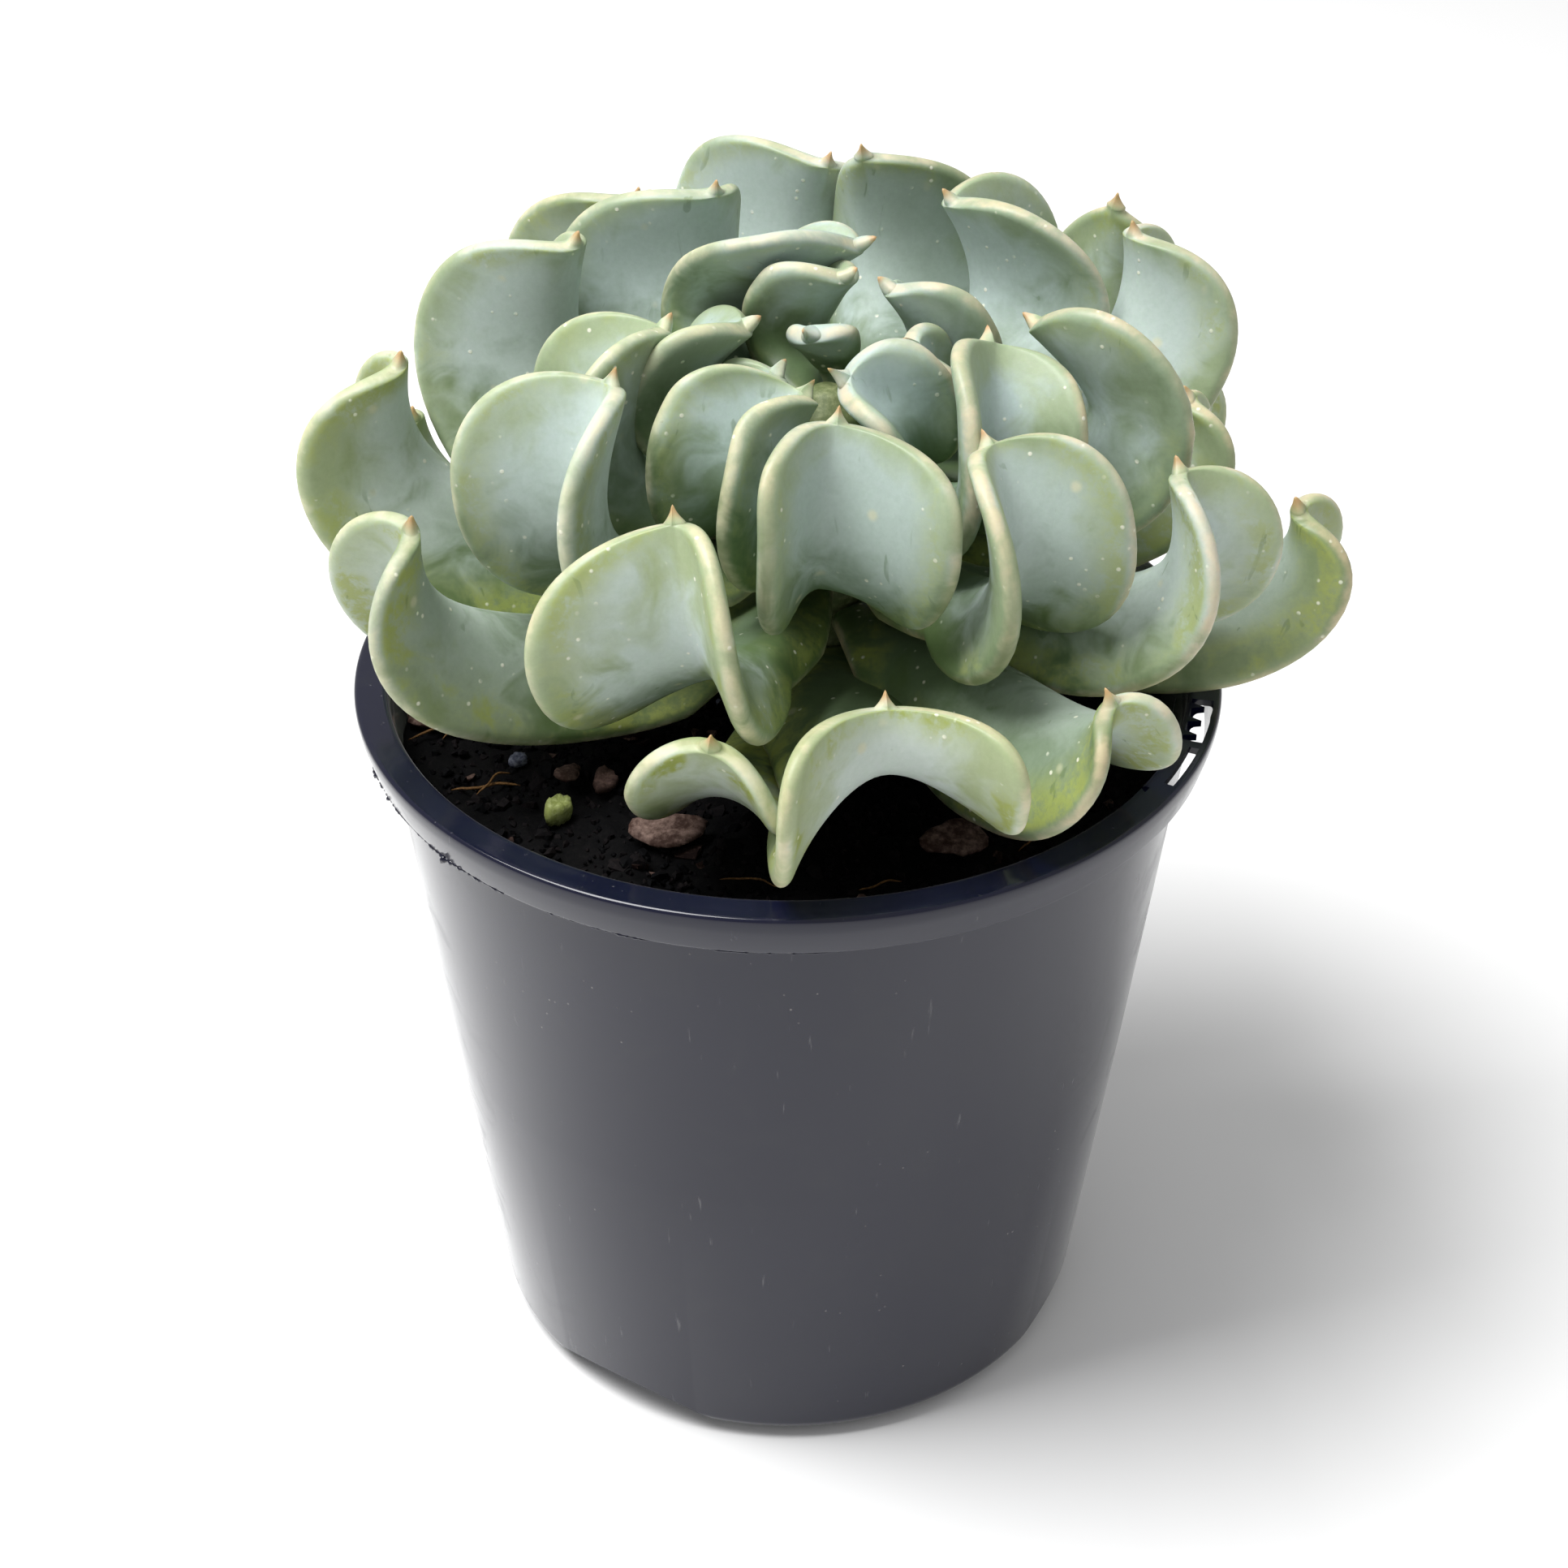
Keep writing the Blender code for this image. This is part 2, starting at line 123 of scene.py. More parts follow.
# number: (turn, root height, bend (r, h), tip (r, h), sway, half widths, folds, other values)
# Turn 0 points at the camera and 90 to its right. Pairs are (left, right), as seen from outside.
LEAVES = {
    1: (-19, 7, (58, 14), (64, 36), 4, (14, 13), (36, 30),
        {"widest": 0.76, "flat": 0.08, "neck": 0.5, "disc": 1, "hug": 1.4, "keel": 5, "curl": 1.0}),
    2: (98, 27, (64, 38), (57, 56), 0, (13, 12), (55, 55), {}),
    3: (-130, 13, (78, 22), (77, 36), 0, (14, 14), (55, 55), {}),
    4: (-113, 17, (76, 24), (72, 44), 4, (13, 12), (55, 55), {}),
    5: (160, 14, (78, 27), (74, 54), 0, (16, 16), (55, 55), {}),
    6: (-70, 19, (72, 28), (69, 56), 11, (19, 19), (52, 52), {"stalk": 0.85, "bare": (0.1, 0.45)}),
    7: (-172, 18, (80, 25), (76, 50), 0, (16, 15), (55, 55), {}),
    8: (128, 19, (81, 24), (79, 42), 0, (15, 14), (55, 55), {}),
    9: (6, 15, (70, 29), (63, 44), 1, (24, 23), (36, 34),
        {"widest": 0.79, "flat": 0.08, "neck": 0.6, "disc": 1, "hug": 2.2, "keel": 5,
         "curl": 0.9, "roll": 6, "stalk": 0.62}),
    10: (40, 22, (76, 30), (70, 42), -8, (21, 18), (52, 52), {"stalk": 0.65, "bare": (0.75, 0.1)}),
    11: (86, 24, (80, 26), (73, 46), -5, (18, 17), (55, 55), {"bare": (0.45, 0.0)}),
    12: (-97, 23, (72, 36), (65, 66), 8, (13, 22), (75, 55),
        {"widest": 0.68, "neck": 0.38, "disc": 0.5}),
    13: (140, 30, (74, 34), (69, 71), -6, (18, 16), (60, 10), {"point": 0.8}),
    14: (-150, 25, (76, 33), (62, 70), 0, (14, 26), (55, 45), {"bare": (0.0, 0.25)}),
    15: (60, 30, (68, 35), (56, 60), 6, (18, 19), (45, 50), {}),
    16: (-16, 29, (64, 33), (53, 66), -8, (25, 15), (26, 58),
        {"widest": 0.73, "neck": 0.42, "flat": 0.0, "disc": 0.9, "point": 0.5}),
    17: (118, 33, (63, 48), (58, 74), 4, (20, 18), (32, 75), {"widest": 0.7, "neck": 0.4}),
    18: (168, 37, (64, 44), (53, 78), 5, (24, 12), (20, 60), {"point": 0.65, "bare": (0.35, 0.1)}),
    19: (-125, 32, (62, 39), (49, 73), -1, (14, 26), (60, 55), {}),
    20: (-172, 37, (72, 39), (61, 73), -10, (14, 31), (52, 36), {}),
    21: (38, 35, (57, 39), (37, 68), -1, (18, 18), (50, 45),
        {"widest": 0.7, "neck": 0.42, "disc": 0.6, "bare": (0.0, 0.2)}),
    22: (-52, 35, (54, 41), (38, 74), -2, (22, 18), (42, 50),
        {"widest": 0.66, "neck": 0.35, "disc": 0.5}),
    23: (-155, 42, (55, 46), (46, 76), -2, (14, 27), (60, 22), {}),
    24: (135, 43, (54, 49), (41, 76), 14, (22, 24), (5, 85), {}),
    25: (-3, 39, (43, 41), (32, 73), 3, (17, 22), (62, 22),
        {"curl": 1.0, "widest": 0.71, "neck": 0.46, "disc": 1, "wave": 1.2,
         "bare": (0.2, 0.15)}),
    26: (80, 44, (56, 54), (29, 71), 8, (19, 21), (62, -12), {}),
    27: (-80, 41, (40, 43), (23, 71), -7, (20, 18), (45, 50), {}),
    28: (45, 48, (38, 47), (21, 73), 13, (17, 16), (35, 58), {}),
    29: (-34, 45, (31, 45), (11, 67), 5, (18, 17), (38, 88), {"wave": 1.3}),
    30: (-100, 48, (29, 55), (11, 69), -4, (14, 16), (10, 35), {}),
    31: (-150, 50, (34, 57), (15, 75), -18, (12, 20), (80, 8), {"wave": 1.8}),
    32: (-160, 54, (22, 58), (8, 75), -8, (9, 11), (70, 25), {}),
    33: (115, 48, (26, 57), (12, 73), 7, (13, 12), (45, 15), {}),
    34: (50, 52, (22, 53), (9, 70), -11, (12, 12), (50, 50), {}),
    35: (95, 54, (21, 54), (11, 70), -5, (8, 8), (50, 50), {}),
    36: (-65, 51, (16, 53), (7, 66), 0, (9, 10), (45, 45), {}),
    37: (170, 56, (12, 59), (0, 69), 4, (6, 6), (30, 30), {}),
}


def srgb(red, green, blue):
    """A linear colour with full alpha from 0-255 screen values."""
    return tuple((v / 255.0 / 12.92) if v < 11 else ((v / 255.0 + 0.055) / 1.055) ** 2.4
                 for v in (red, green, blue)) + (1.0,)


# -------------------- node trees

class Tree:
    """Adds nodes to one shader or geometry tree and links them."""

    def __init__(self, tree):
        self.tree = tree

    def add(self, kind, inputs=None, **settings):
        node = self.tree.nodes.new(kind)
        for key, value in settings.items():
            setattr(node, key, value)
        for key, value in (inputs or {}).items():
            if isinstance(value, bpy.types.NodeSocket):
                self.tree.links.new(value, node.inputs[key])
            else:
                node.inputs[key].default_value = value
        return node

    def feed(self, node, **sources):
        """Links each source to the node's input of that name, with _ for a space."""
        for name, source in sources.items():
            self.tree.links.new(source, node.inputs[name.replace("_", " ")])

    def math(self, operation, a, b, clamp=False):
        node = self.add("ShaderNodeMath", {0: a, 1: b}, operation=operation, use_clamp=clamp)
        return node.outputs[0]

    def plus(self, a, b):
        return self.math("ADD", a, b)

    def minus(self, a, b):
        return self.math("SUBTRACT", a, b)

    def times(self, *values):
        result = values[0]
        for value in values[1:]:
            result = self.math("MULTIPLY", result, value)
        return result

    def ramp(self, value, low, high):
        """0 at low and 1 at high, smooth between."""
        inputs = {"Value": value, "From Min": low, "From Max": high}
        return self.add("ShaderNodeMapRange", inputs, interpolation_type="SMOOTHSTEP").outputs[0]

    def mix(self, factor, a, b, blend="MIX"):
        """Colour a, turned into b by the factor."""
        inputs = {0: factor, 6: a, 7: b}
        return self.add("ShaderNodeMix", inputs, data_type="RGBA", blend_type=blend).outputs[2]

    def noise(self, vector, scale, detail=2.0, roughness=0.5, distortion=0.0):
        inputs = {"Vector": vector, "Scale": scale, "Detail": detail, "Roughness": roughness,
                  "Distortion": distortion}
        return self.add("ShaderNodeTexNoise", inputs).outputs["Fac"]

    def cells(self, vector, scale):
        """Distance to the nearest of many strewn points."""
        inputs = {"Vector": vector, "Scale": scale, "Randomness": 1.0}
        return self.add("ShaderNodeTexVoronoi", inputs).outputs["Distance"]

    def stretched(self, vector, scale):
        return self.add("ShaderNodeMapping", {"Vector": vector, "Scale": scale}).outputs[0]

    def object_place(self):
        return self.add("ShaderNodeTexCoord").outputs["Object"]

    def scaled(self, vector, scale):
        node = self.add("ShaderNodeVectorMath", {0: vector, 3: scale}, operation="SCALE")
        return node.outputs[0]

    def value(self, name):
        """A number stored on the mesh's points."""
        return self.add("ShaderNodeAttribute", attribute_name=name).outputs["Fac"]


def shader_group(name, inputs, outputs):
    """A shader node group with named sockets: (tree helper, its inputs, the output node)."""
    group = bpy.data.node_groups.new(name, "ShaderNodeTree")
    for socket_name, kind, value in inputs:
        socket = group.interface.new_socket(socket_name, in_out="INPUT", socket_type=kind)
        socket.default_value = value
    for socket_name, kind in outputs:
        group.interface.new_socket(socket_name, in_out="OUTPUT", socket_type=kind)
    made = Tree(group)
    return made, made.add("NodeGroupInput").outputs, made.add("NodeGroupOutput")


COLOR, FLOAT = "NodeSocketColor", "NodeSocketFloat"


def waxy_bloom_group():
    """Flesh under a powdery bloom, with rubbed patches, a pale rim, specks, small scratches and
    deep green that is partly painted shade.
    """
    t, given, out = shader_group("waxy_bloom", (
        ("Flesh", COLOR, srgb(150, 162, 120)),
        ("Bloom", COLOR, srgb(196, 208, 204)),
        ("Rubbed", COLOR, srgb(150, 158, 84)),
        ("Deep", COLOR, srgb(74, 98, 46)),
        ("Rim", COLOR, srgb(212, 204, 168)),
        ("Margin", FLOAT, 5.0),
        ("Along", FLOAT, 0.5),
        ("Age", FLOAT, 0.5),
        ("Tone", FLOAT, 0.5),
        ("Bare", FLOAT, 0.0),
    ), (("Color", COLOR), ("Roughness", FLOAT), ("Height", FLOAT)))
    at = t.object_place()

    # Four noises, from patches as wide as a lobe down to a fine grain.
    broad = t.noise(at, 48.0, 2.0, 0.5, 0.6)
    patch = t.noise(at, 120.0, 3.0, 0.55, 0.8)
    grain = t.noise(at, 950.0, 3.0, 0.7)
    mottle = t.noise(at, 330.0, 3.0, 0.6, 0.4)

    # The bloom lies thickest away from the margin.
    drift = t.plus(t.times(broad, 0.6), t.times(patch, 0.4))
    depth = t.plus(drift, t.times(t.math("MINIMUM", given["Margin"], 14.0), 0.016))
    depth = t.plus(depth, t.times(t.minus(given["Tone"], 0.5), 0.16))
    powder = t.ramp(depth, 0.47, 0.7)
    body = t.mix(powder, given["Flesh"], given["Bloom"])

    # Deep green shows near the stem and where a lobe has lost its bloom; both are partly painted
    # shade on the low, shaded parts of the rosette.
    low = t.plus(given["Along"], t.times(t.minus(patch, 0.5), 0.5))
    low = t.minus(low, t.times(given["Age"], 0.08))
    stem_green_and_shade = t.times(t.ramp(low, 0.74, 0.36), t.plus(t.times(given["Age"], 0.1), 0.78))
    bare = t.times(given["Bare"], t.plus(t.times(patch, 0.8), 0.5))
    body = t.mix(t.math("MAXIMUM", stem_green_and_shade, bare), body, given["Deep"])

    # A worn, speckled band inside the margin, wider on old leaves.
    reach = t.plus(t.times(given["Age"], 7.0), 6.0)
    band = t.times(t.ramp(t.minus(given["Margin"], reach), 0.0, -7.0),
                   t.ramp(given["Margin"], 0.4, 1.8))
    worn = t.ramp(t.plus(t.times(broad, 0.55), t.times(patch, 0.45)), 0.43, 0.55)
    speckle = t.ramp(t.plus(t.times(mottle, 0.6), t.times(grain, 0.4)), 0.38, 0.56)
    speckle = t.plus(t.times(speckle, 0.6), 0.4)
    worn = t.times(band, worn, speckle, t.plus(t.times(given["Age"], 0.65), 0.4))
    body = t.mix(worn, body, given["Rubbed"])

    # Short upright scratches.
    lines = t.noise(t.stretched(at, (1.0, 1.0, 0.3)), 300.0, 2.0, 0.5, 1.5)
    lines = t.times(t.ramp(lines, 0.66, 0.72), 0.35)
    body = t.mix(t.times(lines, t.ramp(broad, 0.5, 0.6)), body, given["Deep"])

    rim = t.ramp(t.plus(given["Margin"], t.times(mottle, 1.6)), 2.0, 0.6)
    rim = t.times(rim, t.plus(t.times(t.ramp(patch, 0.35, 0.65), 0.5), 0.18))
    body = t.mix(rim, body, given["Rim"])

    # Small white dots, larger pale spots, a brown tip and a grain over all.
    dots = t.times(t.ramp(t.cells(at, 380.0), 0.17, 0.08), t.ramp(patch, 0.48, 0.6))
    body = t.mix(t.times(dots, 0.8), body, srgb(232, 230, 214))
    pale = t.times(t.ramp(t.cells(at, 120.0), 0.15, 0.05), t.ramp(broad, 0.48, 0.54), 0.6)
    body = t.mix(pale, body, srgb(205, 200, 170))
    body = t.mix(t.ramp(given["Along"], 0.965, 0.995), body, srgb(186, 148, 108))
    body = t.mix(0.25, body, t.mix(grain, srgb(120, 140, 120), srgb(220, 228, 222)), "OVERLAY")

    rough = t.plus(t.times(powder, 0.16), 0.44)
    rough = t.minus(rough, t.times(worn, 0.1))
    height = t.plus(t.times(grain, 0.25), t.times(mottle, 0.35))
    height = t.plus(height, t.times(dots, 0.8))
    t.feed(out, Color=body, Roughness=rough, Height=height)
    return t.tree


def scuffs_group():
    """Handling marks: dust specks, upright scratches and cloudy smudges, each as a mask."""
    t, given, out = shader_group("scuffs", (
        ("Amount", FLOAT, 1.0),
        ("Scale", FLOAT, 1.0),
    ), (("Dust", FLOAT), ("Scratches", FLOAT), ("Smudge", FLOAT)))
    at = t.scaled(t.object_place(), given["Scale"])
    broad = t.noise(at, 38.0, 3.0, 0.55, 0.5)
    dust = t.times(t.ramp(t.cells(at, 330.0), 0.08, 0.03), t.ramp(broad, 0.54, 0.66),
                   given["Amount"])
    upright = t.noise(t.stretched(at, (1.0, 1.0, 0.05)), 900.0, 2.0, 0.5)
    fine = t.noise(t.stretched(at, (1.0, 1.0, 0.25)), 260.0, 3.0, 0.6, 0.6)
    scratches = t.times(t.ramp(upright, 0.68, 0.76), t.ramp(fine, 0.5, 0.6), given["Amount"])
    smudge = t.times(t.ramp(t.noise(at, 85.0, 4.0, 0.6, 0.9), 0.5, 0.72), given["Amount"])
    t.feed(out, Dust=dust, Scratches=scratches, Smudge=smudge)
    return t.tree


def clumps_group():
    """Crumbly matter: a colour between dark and light with a rough height."""
    t, given, out = shader_group("clumps", (
        ("Dark", COLOR, srgb(12, 10, 10)),
        ("Light", COLOR, srgb(60, 52, 46)),
        ("Shade", FLOAT, 0.0),
        ("Scale", FLOAT, 1.0),
    ), (("Color", COLOR), ("Height", FLOAT)))
    at = t.scaled(t.object_place(), given["Scale"])
    coarse = t.noise(at, 240.0, 5.0, 0.65)
    fine = t.noise(at, 1400.0, 4.0, 0.7)
    blend = t.plus(t.times(coarse, 0.5), t.times(fine, 0.5))
    blend = t.math("ADD", t.ramp(blend, 0.42, 0.72), t.minus(given["Shade"], 0.5), clamp=True)
    t.feed(out, Color=t.mix(blend, given["Dark"], given["Light"]),
           Height=t.plus(coarse, t.times(fine, 0.4)))
    return t.tree


WAXY_BLOOM = waxy_bloom_group()
SCUFFS = scuffs_group()
CLUMPS = clumps_group()


def new_look(name, roughness=0.5):
    """A new material: (material, tree helper, its Principled shader)."""
    look = bpy.data.materials.new(name)
    look.use_nodes = True
    t = Tree(look.node_tree)
    shader = look.node_tree.nodes["Principled BSDF"]
    shader.inputs["Roughness"].default_value = roughness
    return look, t, shader


def bumped(t, shader, height, strength, distance):
    """Feeds a height to the shader's normal, with the distance in metres."""
    bump = t.add("ShaderNodeBump", {"Height": height, "Strength": strength, "Distance": distance})
    t.feed(shader, Normal=bump.outputs["Normal"])


def leaf_look():
    """Powdery blue-green skin, greyer in the heart and yellower on the outer leaves."""
    look, t, shader = new_look("powdery_leaf")
    wax = t.add("ShaderNodeGroup", node_tree=WAXY_BLOOM)
    for name in ("margin", "along", "age", "tone", "bare"):
        t.tree.links.new(t.value(name), wax.inputs[name.capitalize()])
    age, under, warm = t.value("age"), t.value("under"), t.value("warm")
    flesh = t.mix(age, srgb(146, 162, 140), srgb(152, 161, 116))
    flesh = t.mix(t.times(under, 0.5), flesh, srgb(166, 176, 140))
    bloom = t.mix(age, srgb(172, 187, 186), srgb(194, 202, 195))
    rim = t.mix(warm, srgb(220, 211, 178), srgb(219, 194, 162))
    t.feed(wax, Flesh=flesh, Bloom=bloom, Rim=rim)
    t.feed(shader, Base_Color=wax.outputs["Color"], Roughness=wax.outputs["Roughness"])
    shader.inputs["Subsurface Weight"].default_value = 0.12
    shader.inputs["Subsurface Radius"].default_value = (0.5, 1.0, 0.35)
    shader.inputs["Subsurface Scale"].default_value = 0.004
    shader.inputs["Specular IOR Level"].default_value = 0.45
    bumped(t, shader, wax.outputs["Height"], 0.35, 0.0002)
    return look


def plastic_look():
    """Glossy blue-black plastic with smudges, scratches and dust."""
    look, t, shader = new_look("black_plastic")
    marks = t.add("ShaderNodeGroup", {"Amount": 1.0, "Scale": 1.0}, node_tree=SCUFFS)
    dust, scratches, smudge = (marks.outputs[n] for n in ("Dust", "Scratches", "Smudge"))
    at = t.object_place()
    base = t.mix(t.noise(at, 18.0, 2.0), srgb(1, 3, 28), srgb(5, 8, 36))
    base = t.mix(t.times(smudge, 0.3), base, srgb(26, 28, 38))
    base = t.mix(t.times(scratches, 0.6), base, srgb(95, 95, 98))
    base = t.mix(t.times(dust, 0.45), base, srgb(170, 165, 158))
    rough = t.plus(t.times(smudge, 0.1), 0.11)
    rough = t.plus(rough, t.times(t.noise(at, 60.0, 3.0), 0.06))
    rough = t.plus(rough, t.times(scratches, 0.2))
    t.feed(shader, Base_Color=base, Roughness=rough)
    shader.inputs["Specular IOR Level"].default_value = 0.45
    shader.inputs["Sheen Weight"].default_value = 0.22
    shader.inputs["Sheen Roughness"].default_value = 0.35
    height = t.plus(t.times(t.noise(at, 500.0, 3.0, 0.6), 0.4), t.times(scratches, -0.5))
    ridges = t.noise(t.stretched(at, (0.15, 0.15, 1.0)), 700.0, 2.0)
    height = t.plus(height, t.times(ridges, 0.3))
    bumped(t, shader, height, 0.1, 0.0001)
    return look


def mix_look(name, dark, light, scale=1.0, roughness=0.85, shade=None):
    """Clumpy matter such as mix, bark or grit. shade names a value stored on the points."""
    look, t, shader = new_look(name, roughness)
    matter = t.add("ShaderNodeGroup", {"Dark": dark, "Light": light, "Shade": 0.5, "Scale": scale},
                   node_tree=CLUMPS)
    shader.inputs["Specular IOR Level"].default_value = 0.12
    if shade:
        t.feed(matter, Shade=t.value(shade))
    t.feed(shader, Base_Color=matter.outputs["Color"])
    bumped(t, shader, matter.outputs["Height"], 0.6, 0.0004)
    return look


def stem_look():
    """Green-brown skin of the stem."""
    look, t, shader = new_look("stem_skin", 0.6)
    matter = t.add("ShaderNodeGroup", {"Dark": srgb(92, 104, 62), "Light": srgb(150, 156, 112),
                                       "Shade": 0.5, "Scale": 0.6}, node_tree=CLUMPS)
    t.feed(shader, Base_Color=matter.outputs["Color"])
    bumped(t, shader, matter.outputs["Height"], 0.4, 0.0004)
    return look


LEAF_LOOK = leaf_look()
PLASTIC = plastic_look()
# The mix and its crumbs are near-black: a dark mix, made darker still as painted shade for the
# shadow under the leaves.
MIX = mix_look("potting_mix", srgb(1, 1, 2), srgb(13, 11, 12), 0.8)
CRUMBS = mix_look("mix_crumbs", srgb(1, 1, 3), srgb(24, 19, 20), 1.0, 0.8, "shade")
BARK = mix_look("bark", srgb(30, 18, 16), srgb(112, 90, 82), 0.7, 0.75, "shade")
FLAKE = mix_look("bark_flake", srgb(62, 44, 38), srgb(150, 126, 116), 0.6, 0.7)
GRIT = mix_look("grey_grit", srgb(70, 74, 92), srgb(160, 164, 176), 1.0, 0.6)
FIBRE = mix_look("straw_fibre", srgb(92, 66, 38), srgb(150, 112, 70), 2.0, 0.6)
BEAD = mix_look("green_bead", srgb(140, 150, 84), srgb(196, 204, 146), 1.2, 0.45)
STEM_SKIN = stem_look()


# -------------------- meshes

def unit(vectors):
    """The vectors, each scaled to a length of 1."""
    return vectors / np.linalg.norm(vectors, axis=-1, keepdims=True)


def circle(sides):
    """Angles of points spread evenly round a circle."""
    return np.linspace(0, 2 * math.pi, sides, endpoint=False)


def band(a, b, count, turned=False):
    """Four-sided faces between two rings of points, which start at a and b."""
    faces = []
    for j in range(count):
        k = (j + 1) % count
        faces.append([a + j, a + k, b + k, b + j] if turned else [a + j, b + j, b + k, a + k])
    return faces


def mesh_object(name, points, faces, look):
    """A smooth mesh object from points in millimetres."""
    mesh = bpy.data.meshes.new(name)
    mesh.from_pydata((np.asarray(points) * MM).tolist(), [], faces)
    mesh.materials.append(look)
    mesh.polygons.foreach_set("use_smooth", [True] * len(mesh.polygons))
    mesh.update()
    made = bpy.data.objects.new(name, mesh)
    bpy.context.scene.collection.objects.link(made)
    return made


def add_values(made, name, values):
    """Stores one number for each point of the mesh, for a material to read."""
    stored = made.data.attributes.new(name, "FLOAT", "POINT")
    stored.data.foreach_set("value", np.asarray(values, np.float32))


def placed(made, slot, *nodes):
    """Attaches a finished piece to the root body and hides the nodes it stands for. slot is not
    used.
    """
    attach(made, "root")
    if nodes:
        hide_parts(*nodes)
    return made


def finished(made):
    """The object with its modifiers worked out into a plain mesh."""
    graph = bpy.context.evaluated_depsgraph_get()
    mesh = bpy.data.meshes.new_from_object(made.evaluated_get(graph))
    made.modifiers.clear()
    made.data = mesh
    return made


def lathe(name, profile, sides, look):
    """Turns a closed (radius, height) profile, given from the axis outwards, about Z."""
    points, rings = [], []
    for radius, height in profile:
        if radius == 0.0:
            rings.append([len(points)] * sides)
            points.append((0.0, 0.0, height))
            continue
        rings.append(list(range(len(points), len(points) + sides)))
        for i in range(sides):
            angle = 2.0 * math.pi * i / sides
            points.append((radius * math.cos(angle), radius * math.sin(angle), height))
    faces = []
    for low, high in zip(rings, rings[1:]):
        for i in range(sides):
            j = (i + 1) % sides
            corners = [low[i], low[j], high[j], high[i]]
            faces.append([c for n, c in enumerate(corners) if c not in corners[:n]])
    return mesh_object(name, points, faces, look)


# A direction that no tube here runs along.
TUBE_UPRIGHT = (0.31, 0.2, 0.93)


def tube_of(name, path, radii, sides, look):
    """A closed tube along a path of points, with a radius at each."""
    path = np.asarray(path, float)
    ahead = unit(np.gradient(path, axis=0))
    first = unit(np.cross(ahead, TUBE_UPRIGHT))
    second = np.cross(ahead, first)
    turn = circle(sides)[None, :, None]
    ring = np.cos(turn) * first[:, None] + np.sin(turn) * second[:, None]
    points = (path[:, None] + ring * np.asarray(radii)[:, None, None]).reshape(-1, 3)
    faces = []
    for i in range(len(path) - 1):
        faces += band(i * sides, (i + 1) * sides, sides, turned=True)
    faces.append(list(range(sides))[::-1])
    faces.append([(len(path) - 1) * sides + j for j in range(sides)])
    return mesh_object(name, points, faces, look)


def rounded(corners, radius, steps=4):
    """The profile with its inner corners rounded to a radius, or to what their sides allow."""
    corners = [np.array(c, float) for c in corners]
    result = [tuple(corners[0])]
    for before, here, after in zip(corners, corners[1:], corners[2:]):
        cut = min(radius, 0.45 * np.linalg.norm(here - before), 0.45 * np.linalg.norm(after - here))
        a = here + (before - here) / np.linalg.norm(before - here) * cut
        b = here + (after - here) / np.linalg.norm(after - here) * cut
        for k in range(steps + 1):
            t = k / steps
            result.append(tuple((1 - t) ** 2 * a + 2 * t * (1 - t) * here + t * t * b))
    result.append(tuple(corners[-1]))
    return result


# -------------------- pot

def wall_radius(height):
    """Outer radius of the tapered wall at a height."""
    share = height / (POT_HEIGHT - RIM_THICKNESS)
    return WALL_FOOT_RADIUS + (WALL_TOP_RADIUS - WALL_FOOT_RADIUS) * share


def arc_block(name, start, stop, sides, low, high):
    """A block bent round the pot's axis, with radii sides(share) and top high(share) along it."""
    steps = 48
    points, faces = [], []
    for i in range(steps + 1):
        share = i / steps
        turn = math.radians(start + (stop - start) * share)
        inner, outer = sides(share)
        top = high(share)
        for radius, height in ((inner, low), (outer, low), (outer, top), (inner, top)):
            points.append((radius * math.cos(turn), radius * math.sin(turn), height))
    for i in range(steps):
        faces += band(4 * i, 4 * i + 4, 4)
    faces.append([0, 1, 2, 3])
    faces.append([4 * steps + j for j in (3, 2, 1, 0)])
    return mesh_object(name, points, faces, PLASTIC)


